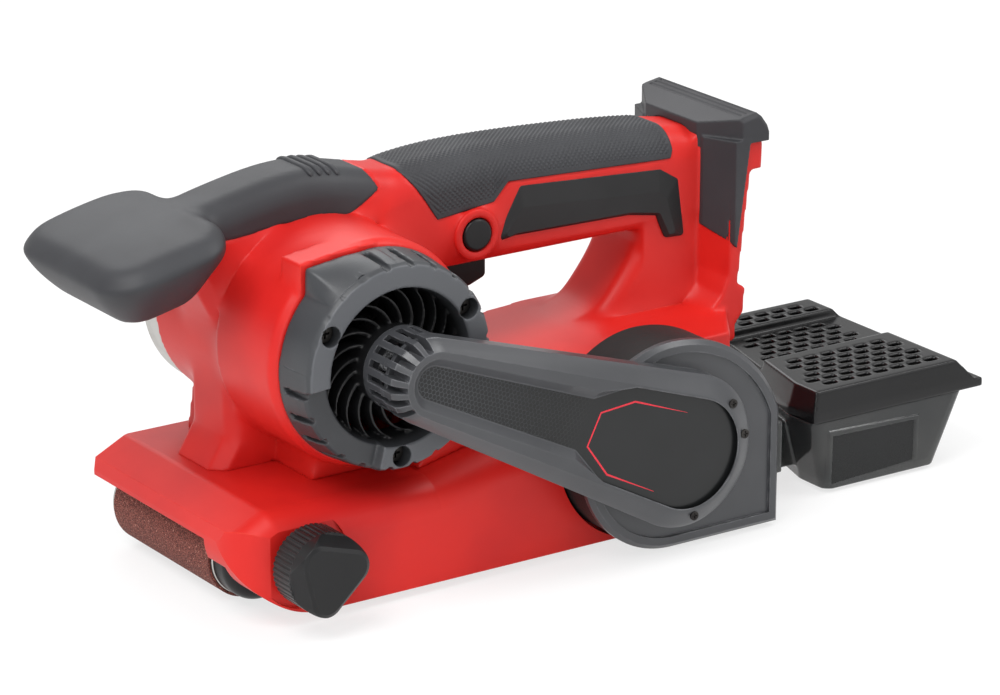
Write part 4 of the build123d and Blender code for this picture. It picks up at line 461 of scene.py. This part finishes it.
# ------------------------------------------------------------------ red housing and soft covers
def housing_shell():
    """Both housing halves as one moulding, with broad coves where barrel, pillar, handle and column meet.

    The coves lie outside the barrel, ahead of the column and above the base, and clear of the trigger's slot.
    """
    halves = ["housing_near", "housing_far"]
    barrel_edge, column_edge, base_top = (0.0395, 0.0415), (0.139, 0.146), (0.046, 0.052)
    slot_half_width, slot_front, slot_rear, slot_top = 0.0115, 0.014, 0.051, 0.118
    points, ends, quads = even_skin(halves, voxel=0.00105)
    x, y, z = points.T
    from_motor = np.hypot(x - motor_axis[0], z - motor_axis[1])
    filled = smoothstep(from_motor, *barrel_edge) * (1.0 - smoothstep(x, *column_edge))
    filled *= smoothstep(z, *base_top)
    trigger_slot = (np.abs(y) < slot_half_width) & (x > slot_front) & (x < slot_rear) & (z < slot_top)
    filled = np.where(trigger_slot, 0.0, filled)
    points = fill_creases(points, ends, quads, rounds=90, share=0.9 * filled)
    points = relax(points, ends, rounds=4)
    add_piece("housing_shell", points, quads, "red_housing", "root", halves, 60.0)


def front_grip_skin():
    """Pad and neck in one soft cover: crowned top, tucked underside and an S-shaped flare where they join.

    In the tilted frame of the pad, u runs along it, v across it and w up. The top drops with the square of
    the distance from the middle, and the underside is narrower and, towards the front, deeper.
    """
    tilt = np.radians(13.0)
    middle = np.array([-0.1155, 0.0, 0.1385])
    half_length, half_width, crown_drop = 0.0285, 0.040, 0.0022
    longer, wider, narrower_below, deeper_below = 1.05, 1.09, 0.20, 0.85
    points, ends, quads = even_skin(["front_grip"], voxel=0.0009)
    near_pad = 1.0 - smoothstep(points[:, 0], -0.080, -0.066)
    points = fill_creases(points, ends, quads, rounds=160, share=0.9 * near_pad)
    points = relax(points, ends, rounds=6)
    along = np.array([np.cos(tilt), 0.0, np.sin(tilt)])
    up = np.array([-np.sin(tilt), 0.0, np.cos(tilt)])
    away = points - middle
    u, v, w = away @ along, away[:, 1], away @ up
    on_pad = 1.0 - smoothstep(u, 0.014, 0.032)
    from_middle = (u / half_length) ** 2 + (v / half_width) ** 2
    drop = crown_drop * np.clip(from_middle, 0.0, 1.6) * smoothstep(w, 0.0, 0.008)
    tuck = 1.0 - narrower_below * smoothstep(-w, -0.002, 0.010)
    deeper = 1.0 + deeper_below * (1.0 - smoothstep(u, 0.004, 0.030))
    u_new = u * (1.0 + on_pad * (longer * tuck - 1.0))
    v_new = v * (1.0 + on_pad * (wider * tuck - 1.0))
    w_new = np.where(w < 0.0, w * (1.0 + on_pad * (deeper - 1.0)), w - on_pad * drop)
    points = middle + np.outer(u_new, along) + np.outer(w_new, up)
    points[:, 1] = v_new
    points = soften(points, ends, rounds=14, share=on_pad)
    add_piece("front_grip_skin", points, quads, "soft_grip", "root", ["front_grip"], 75.0)
    return points


def neck_ribs(cover):
    """Four rounded bars across the top of the neck, laid on the height of the cover's nearest points.

    Each bar is a half round carried across the neck, thinner towards its ends by the sixth power of the way.
    The height is a mean of the cover's points, weighted by how near and how high each one is.
    """
    count, first_x, pitch = 4, -0.0392, 0.0041
    half_length, half_width, height, sunk = 0.0135, 0.00135, 0.0013, 0.0002
    neck_front, neck_rear, neck_half_width, neck_low = -0.046, -0.018, 0.016, 0.146
    nearness, topmost = 0.0012, 0.0004
    turn = np.linspace(-1.0, 1.0, 41)
    profile = np.linspace(0.0, np.pi, 9)
    thick = np.sqrt(np.clip(1.0 - np.abs(turn) ** 6, 0.0, 1.0))
    y = half_length * turn
    on_neck = (cover[:, 0] > neck_front) & (cover[:, 0] < neck_rear) & (cover[:, 2] > neck_low)
    near_x, near_y, near_z = cover[on_neck & (np.abs(cover[:, 1]) < neck_half_width)].T
    points = []
    faces = []
    for rib in range(count):
        middle_x = first_x + pitch * rib
        away = (near_x[None, :] - middle_x) ** 2 + (near_y[None, :] - y[:, None]) ** 2
        pull = np.exp(-away / nearness**2 + (near_z[None, :] - near_z.max()) / topmost)
        z = (pull * near_z[None, :]).sum(axis=1) / pull.sum(axis=1)
        slope = np.gradient(z, y)
        lean = np.sqrt(1.0 + slope**2)
        lift = height * np.outer(thick, np.sin(profile)) - sunk
        x_grid = middle_x + half_width * np.outer(thick, np.cos(profile))
        y_grid = y[:, None] - lift * (slope / lean)[:, None]
        z_grid = z[:, None] + lift * (1.0 / lean)[:, None]
        points.append(np.stack([x_grid, y_grid, z_grid], axis=-1).reshape(-1, 3))
        faces.append(grid_faces(len(turn), len(profile))[:, ::-1] + rib * x_grid.size)
    add_piece("neck_ribs", np.concatenate(points), np.concatenate(faces), "soft_grip")


def end_cap_skin():
    """The cap in one moulding: the corner lug slopes from its full height at the seam down to the round face,
    the slots that would cut through it are closed, and the lower front quarter of the ring is set back.

    A point's place is its reach from the motor's axis, its angle round it and its station along it. drum is
    the round cap's own radius at that station, and rim is its outer band, apart from the lug's screw well.
    What lies behind the station fixed isn't set back.
    """
    front, face_edge, shoulder, seam = -0.0800, -0.0794, -0.0782, -0.0600
    band, ring_inside, fixed = 0.0042, 0.0303, -0.0700
    well_angle, well_reach, well_radius = np.radians(150.0), 0.0363, 0.0049
    lug_start, lug_end = (103.0, 105.0), (174.0, 176.0)
    low_start, low_end = (184.0, 186.0), (254.0, 256.0)
    points, ends, quads = even_skin(["motor_end_cap"], voxel=0.00055)
    x, station, z = points.T
    over, up = x - motor_axis[0], z - motor_axis[1]
    reach, angle = np.hypot(over, up), np.degrees(np.arctan2(up, over))
    drum = np.interp(station, [front, shoulder, seam], [0.0406, 0.0418, 0.0435])
    from_well = np.hypot(over - well_reach * np.cos(well_angle), up - well_reach * np.sin(well_angle))
    near_lug = smoothstep(angle, *lug_start) * (1.0 - smoothstep(angle, *lug_end))
    outer_band = (reach > drum - band) & (from_well > well_radius)
    rim = outer_band & (station > face_edge) & (station < seam)

    sloped = drum + np.maximum(reach - drum, 0.0) * smoothstep(station, -0.0798, -0.0598)
    lug_side = (reach > drum) & (angle > 88.0) & (angle <= 105.0)
    new_reach = np.where(lug_side, sloped, reach + near_lug * (sloped - reach))
    new_reach = np.where(rim, new_reach, reach)
    on_face = near_lug * (station <= face_edge) * outer_band
    new_reach = new_reach + 0.7 * on_face * np.maximum(drum - new_reach, 0.0)
    scale = (new_reach / np.maximum(reach, 1e-6))[:, None]
    flat = motor_axis + np.stack([over, up], axis=1) * scale

    around = angle % 360.0
    low_side = smoothstep(around, *low_start) * (1.0 - smoothstep(around, *low_end))
    low_side = low_side * (reach > ring_inside)
    set_back = (station - fixed) * (1.0 - 0.38 * low_side) + fixed
    station = np.where(station < fixed, set_back, station)
    points = np.stack([flat[:, 0], station, flat[:, 1]], axis=1)
    on_lug = smoothstep(angle, 92.0, 104.0) * (1.0 - smoothstep(angle, 168.0, 176.0)) * rim
    points = relax(soften(points, ends, rounds=16, share=on_lug), ends, rounds=5)
    add_piece("end_cap_skin", points, quads, "cap_plastic", "root", ["motor_end_cap"], 45.0)


def handle_sleeve():
    """Knurled sleeve: the handle's outline carried round its crown, with small pyramids in a plain border.

    s runs down each side from the middle of the top, in metres round the outline: 6 mm flat, a quarter round
    of 13 mm and then the upright side. It ends at the sleeve's lower edge, low_z. The pyramids are the lower
    of two triangle waves along the diagonals.
    """
    columns, rows = 361, 241
    front_x, rear_x = 0.0012, 0.1332
    flat, radius = 0.006, 0.013
    pitch, pyramid_height, edge_drop = 0.0023, 0.00055, 0.0016
    x = np.linspace(front_x, rear_x, columns)
    top_x = [-0.006, 0.020, 0.059, 0.100, 0.128, 0.151]
    top_z = [0.1522, 0.1563, 0.1564, 0.1546, 0.1518, 0.1480]
    crown = np.polyval(np.polyfit(top_x, top_z, 4), x)
    corner_x = [front_x, 0.016, 0.043, 0.050, 0.131, rear_x]
    low_z = np.interp(x, corner_x, [0.1545, 0.1318, 0.1348, 0.1422, 0.1388, 0.1440])

    quarter = flat + radius * np.pi / 2
    depth = crown - radius - low_z
    high_cut = radius - np.clip(low_z - (crown - radius), 0.0, radius)
    reach = np.where(depth > 0.0, quarter + depth, flat + radius * np.arccos(1.0 - high_cut / radius))
    s = np.linspace(-1.0, 1.0, rows)[:, None] * reach[None, :]
    size = np.abs(s)
    angle = np.clip((size - flat) / radius, 0.0, np.pi / 2)
    out = np.minimum(size, flat) + radius * np.sin(angle)
    down = radius * (1.0 - np.cos(angle)) + np.maximum(size - quarter, 0.0)
    normal_y = -np.sign(s) * np.sin(angle)
    normal_z = np.cos(angle)

    wide = np.broadcast_to(x[None, :], s.shape)
    first = np.abs(((wide + s) / pitch) % 1.0 - 0.5)
    second = np.abs(((wide - s) / pitch) % 1.0 - 0.5)
    pyramids = np.minimum(first, second) * 2.0
    front_border = wide - x[0] - 0.06 * size
    border = np.minimum(reach[None, :] - size, np.minimum(front_border, x[-1] - wide))
    inside = smoothstep(border, 0.0022, 0.0034)
    rim = smoothstep(border, -0.0001, 0.0009)
    height = pyramid_height * pyramids * inside - 0.0002 * inside
    height = height + 0.0003 - edge_drop * (1.0 - rim)
    y = -np.sign(s) * out + normal_y * height
    z = crown[None, :] - down + normal_z * height
    points = np.stack([wide, y, z], axis=-1)
    faces = grid_faces(rows, columns)[:, ::-1]
    add_piece("handle_sleeve", points, faces, "soft_grip", "root", ["handle_grip"], 60.0)


def bumper_skin():
    """Rubber bumper with its grooves and side panels, every edge rolled over a little."""
    points, ends, quads = even_skin(["battery_bumper"], voxel=0.00045)
    points = relax(points, ends, rounds=5)
    add_piece("bumper_skin", points, quads, "bumper_rubber", "root", ["battery_bumper"], 60.0)


def lock_ring():
    """Rounded red ridge round the lock-off button: a low half round turned about the button's axis."""
    low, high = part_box("lock_button")
    middle_x, middle_z = (low[0] + high[0]) / 2, (low[2] + high[2]) / 2
    ridge_radius, half_width, foot, height = 0.0089, 0.0018, -0.0212, 0.0014
    across = np.linspace(0.0, np.pi, 25)
    around = np.linspace(0.0, 2 * np.pi, 128, endpoint=False)
    reach = ridge_radius - half_width * np.cos(across)
    station = foot - height * np.sqrt(np.clip(np.sin(across), 0.0, 1.0))
    x = middle_x + np.outer(reach, np.cos(around))
    z = middle_z + np.outer(reach, np.sin(around))
    points = np.stack([x, np.broadcast_to(station[:, None], x.shape), z], axis=-1)
    faces = grid_faces(len(across), len(around), closed=True)
    add_piece("lock_ring", points, faces[:, ::-1], "red_housing")


# ------------------------------------------------------------------ drive arm
def arm_loop(step):
    """Points on the arm's middle line, with each one's outward direction, share of the length and angle.

    The loop runs along the top to the rear, round the rear end, back along the bottom and round the front.
    """
    front_turn = 2 * np.pi - 2 * arm_spread
    along = int(arm_length / step)
    rear = int(2 * arm_spread * arm_rear_radius / step)
    front = int(front_turn * arm_front_radius / step)
    down_arm = np.arange(along) / along
    share = np.concatenate([down_arm, np.ones(rear), 1 - down_arm, np.zeros(front)])
    top = np.full(along, arm_heading + arm_spread)
    low = np.full(along, arm_heading - arm_spread)
    round_rear = arm_heading + arm_spread * (1 - 2 * np.arange(rear) / rear)
    round_front = arm_heading - arm_spread - front_turn * np.arange(front) / front
    angle = np.concatenate([top, round_rear, low, round_front])
    middle = motor_axis + share[:, None] * (fan_axis - motor_axis)
    return middle, np.stack([np.cos(angle), np.sin(angle)], axis=1), share, angle


arm_middle, arm_outward, arm_share, arm_angle = arm_loop(step=0.00035)
# Half width of the arm's dark panel: a narrow strip that steps out to the broad round rear end.
arm_panel_reach = np.interp(arm_share, [0.0, 0.59, 0.735, 1.0], [0.0066, 0.0106, 0.0203, 0.0242])
arm_panel_station = -0.1018


def arm_surface(name, levels, finish, stands_for=(), sharp=40.0):
    """A sheet round the arm: one ring for each pair of reach from the middle line and station along Y."""
    rings = []
    for reach, station in levels:
        flat = arm_middle + arm_outward * reach[:, None]
        rings.append(np.stack([flat[:, 0], np.broadcast_to(station, len(flat)), flat[:, 1]], axis=1))
    faces = grid_faces(len(rings), len(arm_share), closed=True)
    add_piece(name, np.stack(rings), faces[:, ::-1], finish, "root", stands_for, sharp)


def arm_cover():
    """Outer cover of the arm: side wall, broad bevel, narrow face and a slope down to the sunk panel.

    Notches go through the bevel round the front end, 20 degrees apart. The face stands proud at the front.
    """
    seam, bevel_foot, face = -0.0938, -0.0996, -0.1040
    first_notch, pitch, half_notch, notch_depth = 100.0, 20.0, 4.9, 0.0044
    row_start, row_end = 92.0, 228.0
    outer = arm_front_radius + (arm_rear_radius - arm_front_radius) * arm_share
    bevel = 0.0046 + 0.0036 * arm_share
    inner = outer - bevel
    slope = 0.0036 * (1.0 - smoothstep(arm_share, 0.55, 0.75)) + 0.0004
    foot = np.minimum(arm_panel_reach + slope, inner - 0.0006)
    turned = np.degrees(arm_angle) % 360.0
    from_notch = np.abs((turned - first_notch + pitch / 2) % pitch - pitch / 2)
    in_row = (arm_share == 0.0) & (turned > row_start) & (turned < row_end)
    notch = np.where(in_row & (from_notch < half_notch), outer - notch_depth, 1.0)
    proud = 0.0011 * (1.0 - smoothstep(arm_share, 0.40, 0.80))
    levels = [
        (np.minimum(outer, notch), seam),
        (np.minimum(outer, notch), bevel_foot + 0.0011),
        (np.minimum(outer, notch), bevel_foot + 0.0003),
        (np.minimum(outer - 0.0003, notch), bevel_foot),
        (np.minimum(outer - 0.25 * bevel, notch), -0.1010 - 0.4 * proud),
        (np.minimum(outer - 0.75 * bevel, notch), -0.1030 - 0.8 * proud),
        (inner + 0.0003, face + 0.0001 - proud),
        (inner - 0.0003, face - proud),
        (foot + 0.0002, face - proud),
        (foot - 0.0003, face + 0.0002 - proud),
        (arm_panel_reach + 0.0005, arm_panel_station - 0.0001),
        (arm_panel_reach - 0.0002, arm_panel_station + 0.0001),
    ]
    arm_surface("arm_cover", levels, "grey_plastic", ["belt_cover"], 20.0)


def arm_panel():
    """Black panel sunk in the arm: an even sheet whose front strip carries the fine mesh of its finish."""
    levels = [(arm_panel_reach * step, arm_panel_station) for step in np.linspace(1.0, 0.0, 9)]
    arm_surface("arm_panel", levels, "panel_mesh")


def panel_line():
    """Thin red line on the panel: an open bracket of five straight runs, tapered at both ends."""
    upper = [(0.0801, 0.0623), (0.0544, 0.0719), (0.0379, 0.0705)]
    lower = [(0.0314, 0.0577), (0.0409, 0.0441), (0.0639, 0.0322)]
    corners = np.array(upper + lower)
    half_widths = np.array([0.00005, 0.0004, 0.0004, 0.0004, 0.0004, 0.0001])
    runs = np.diff(corners, axis=0)
    runs /= np.linalg.norm(runs, axis=1)[:, None]
    heading = np.vstack([runs[:1], runs[:-1] + runs[1:], runs[-1:]])
    heading /= np.linalg.norm(heading, axis=1)[:, None]
    side = np.stack([-heading[:, 1], heading[:, 0]], axis=1) * half_widths[:, None]
    sheet = np.stack([corners + side, corners - side])
    station = np.full(sheet.shape[:2], arm_panel_station - 0.00005)
    points = np.stack([sheet[..., 0], station, sheet[..., 1]], axis=-1)
    add_piece("panel_line", points, grid_faces(2, len(corners))[:, ::-1], "red_line")


# ------------------------------------------------------------------ dust box
def lid_skin():
    """Lid with every edge and vent rolled over, drawn over the solid with even quads."""
    points, ends, quads = even_skin(["dust_lid"], voxel=0.0006)
    points = soften(points, ends, rounds=5)
    add_piece("lid_skin", points, quads, "lid_black", "dust_cover", ["dust_lid"], 60.0)


def tray_skin():
    """Clear tray with rounded corners and rim, drawn over the solid with even quads."""
    points, ends, quads = even_skin(["dust_box"], voxel=0.00065)
    points = relax(points, ends, rounds=6)
    add_piece("tray_skin", points, quads, "smoked_clear", "dust_container", ["dust_box"], 60.0)
    return points


def tray_front(skin):
    """Plate and its raised frame on the tray's near wall: a four-cornered grid laid on the wall.

    The wall's depth is a plane fitted to the nearest outer points. The height above it is 1.1 mm on the
    frame and 0.3 mm on the plate inside it, less 0.2 mm all over, so that the outer edge sinks into the wall.
    The frame runs along the top and down both sides.
    """
    corners = np.array([(0.1728, 0.0282), (0.2225, 0.0262), (0.2225, 0.0058), (0.1728, 0.0034)])
    rows, columns = 101, 161
    frame_height, plate_drop, frame_width, sunk = 0.0011, 0.0008, 0.0031, 0.0002
    wall_front, wall_rear, wall_low, wall_high, wall_inside = 0.178, 0.214, 0.007, 0.024, -0.060
    first = np.linspace(0.0, 1.0, columns)[None, :, None]
    second = np.linspace(0.0, 1.0, rows)[:, None, None]
    top = corners[0] + first * (corners[1] - corners[0])
    low = corners[3] + first * (corners[2] - corners[3])
    place = top + second * (low - top)

    x, _, z = skin.T
    wall = skin[(x > wall_front) & (x < wall_rear) & (z > wall_low) & (z < wall_high)]
    wall = wall[wall[:, 1] < np.percentile(wall[:, 1], 30.0)]
    wall = wall[wall[:, 1] < wall_inside]
    table = np.column_stack([wall[:, 0], wall[:, 2], np.ones(len(wall))])
    for _ in range(4):
        plane = np.linalg.lstsq(table, wall[:, 1], rcond=None)[0]
        outer = wall[:, 1] < table @ plane + 0.0002
        wall, table = wall[outer], table[outer]
    depth = place[..., 0] * plane[0] + place[..., 1] * plane[1] + plane[2]

    width = np.linalg.norm(corners[1] - corners[0])
    tall = np.linalg.norm(corners[3] - corners[0])
    across, down = first[..., 0] * width, second[..., 0] * tall
    border = np.minimum(np.minimum(across, width - across), down)
    height = frame_height * smoothstep(border, 0.0, 0.0012)
    height = height - plate_drop * smoothstep(border, 0.0026, frame_width)
    grid = np.stack([place[..., 0], depth - height + sunk, place[..., 1]], axis=-1)
    quads = grid_faces(rows, columns)[:, ::-1]
    inside = (border > frame_width).reshape(-1)[quads].all(axis=1)
    add_piece("tray_frame", grid, quads[~inside], "smoked_clear", "dust_container")
    add_piece("tray_plate", grid, quads[inside], "gloss_black", "dust_container")


# ------------------------------------------------------------------ belt tension
def tension_coil():
    """Tension spring: a wire of round section wound on a helix of seven turns, closed at its tips.

    Along X the helix is eased by a sine, so that its pitch falls to two fifths at both ends.
    """
    low, high = [np.array(corner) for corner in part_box("tension_spring")]
    wire_radius, travel = 0.0008, 0.006
    turns, steps_per_turn = 7, 48
    middle = (low + high) / 2
    coil_radius = (high[2] - low[2]) / 2 - wire_radius
    share = np.linspace(0.0, 1.0, turns * steps_per_turn + 1)
    eased = share - 0.6 * np.sin(2 * np.pi * share) / (2 * np.pi)
    angle = 2 * np.pi * turns * share
    along = low[0] + wire_radius + (high[0] - low[0] - 2 * wire_radius) * eased
    around = np.linspace(0.0, 2 * np.pi, 12, endpoint=False)
    thick = wire_radius * np.sqrt(np.clip(1.0 - np.abs(2 * share - 1.0) ** 400, 0.0, 1.0))
    reach = coil_radius + np.outer(thick, np.cos(around))
    x = along[:, None] + np.outer(thick, np.sin(around))
    y = middle[1] + reach * np.cos(angle)[:, None]
    z = middle[2] + reach * np.sin(angle)[:, None]
    faces = grid_faces(len(share), len(around), closed=True)[:, ::-1]
    points = np.stack([x, y, z], axis=-1)
    coil = add_piece("tension_coil", points, faces, "spring_steel", "root", ["tension_spring"], 60.0)
    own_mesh(coil)


# ------------------------------------------------------------------ floor, backdrop, light, camera
def lay_floor():
    """A wide pale floor just under the tool, nearly white to the camera, which keeps the shadow."""
    reach, height, white_share = 6.0, -0.0006, 0.72
    mesh = bpy.data.meshes.new("floor")
    corners = [(-reach, -reach), (reach, -reach), (reach, reach), (-reach, reach)]
    mesh.from_pydata([(x, y, height) for x, y in corners], [], [(0, 1, 2, 3)])
    floor = bpy.data.objects.new("floor", mesh)
    bpy.context.scene.collection.objects.link(floor)
    made = Finish("floor_paper", paint(246, 246, 246), 0.9)
    seen = made.node("ShaderNodeLightPath")
    rays = seen["Is Camera Ray"].math("MAXIMUM", seen["Is Glossy Ray"])
    rays = rays.math("MAXIMUM", seen["Is Transmission Ray"])
    glow = made.node("ShaderNodeEmission", {}, {"Color": (1, 1, 1, 1), "Strength": 1.0})["Emission"]
    surface = Value(made, made.shader.outputs["BSDF"])
    sockets = {0: rays * white_share, 1: surface, 2: glow}
    blended = made.node("ShaderNodeMixShader", {}, sockets)["Shader"]
    made.feed(made.tree.nodes["Material Output"].inputs["Surface"], blended)
    mesh.materials.append(made.material)


def set_world():
    """White to the camera and through clear plastic, and a soft even light for everything else."""
    world = bpy.data.worlds.new("studio")
    world.use_nodes = True
    world.node_tree.nodes.clear()
    made = Graph(world.node_tree)
    seen = made.node("ShaderNodeLightPath")
    rays = seen["Is Camera Ray"].math("MAXIMUM", seen["Is Transmission Ray"])
    white = (1, 1, 1, 1)
    soft = made.node("ShaderNodeBackground", {}, {"Color": white, "Strength": 0.645})[0]
    full = made.node("ShaderNodeBackground", {}, {"Color": white, "Strength": 1.0})[0]
    blended = made.node("ShaderNodeMixShader", {}, {0: rays, 1: soft, 2: full})[0]
    made.node("ShaderNodeOutputWorld", {}, {"Surface": blended})
    bpy.context.scene.world = world


def hang_light(name, towards, distance, size, level):
    """A square lamp that looks at the tool; level is how bright it alone makes a white face."""
    tool_middle = Vector((0.05, -0.02, 0.08))
    lamp = bpy.data.lights.new(name, "AREA")
    lamp.shape = "SQUARE"
    lamp.size = size
    lamp.energy = level * np.pi**2 * distance**2
    holder = bpy.data.objects.new(name, lamp)
    direction = Vector(towards).normalized()
    holder.location = tool_middle + direction * distance
    holder.rotation_euler = direction.to_track_quat("Z", "Y").to_euler()
    bpy.context.scene.collection.objects.link(holder)


def set_camera():
    """A long lens in front of the tool's near side, a little above it."""
    azimuth, elevation = np.radians(-34.07), np.radians(18.58)
    level = np.cos(elevation)
    away = Vector((np.sin(azimuth) * level, -np.cos(azimuth) * level, np.sin(elevation)))
    data = bpy.data.cameras.new("camera")
    data.sensor_width = 36.0
    data.lens = 156.24
    camera = bpy.data.objects.new("camera", data)
    camera.location = (-0.894, -1.409, 0.637)
    camera.rotation_euler = away.to_track_quat("Z", "Y").to_euler()
    bpy.context.scene.collection.objects.link(camera)
    bpy.context.scene.camera = camera


housing_shell()
neck_ribs(front_grip_skin())
end_cap_skin()
handle_sleeve()
bumper_skin()
arm_cover()
arm_panel()
panel_line()
lid_skin()
tray_front(tray_skin())
tension_coil()
lock_ring()

lay_floor()
set_world()
hang_light("key_light", (-0.65, -0.25, 1.0), 1.6, 0.9, 0.74)
hang_light("side_light", (-1.0, -1.0, 0.35), 1.8, 0.8, 0.15)
hang_light("edge_light", (0.55, -0.3, 0.8), 1.5, 0.6, 0.32)
hang_light("fill_light", (0.9, -1.0, 0.5), 1.8, 1.0, 0.1)
hang_light("back_light", (0.3, 1.0, 0.9), 1.6, 0.9, 0.25)
set_camera()
bpy.context.scene.view_settings.view_transform = "Standard"
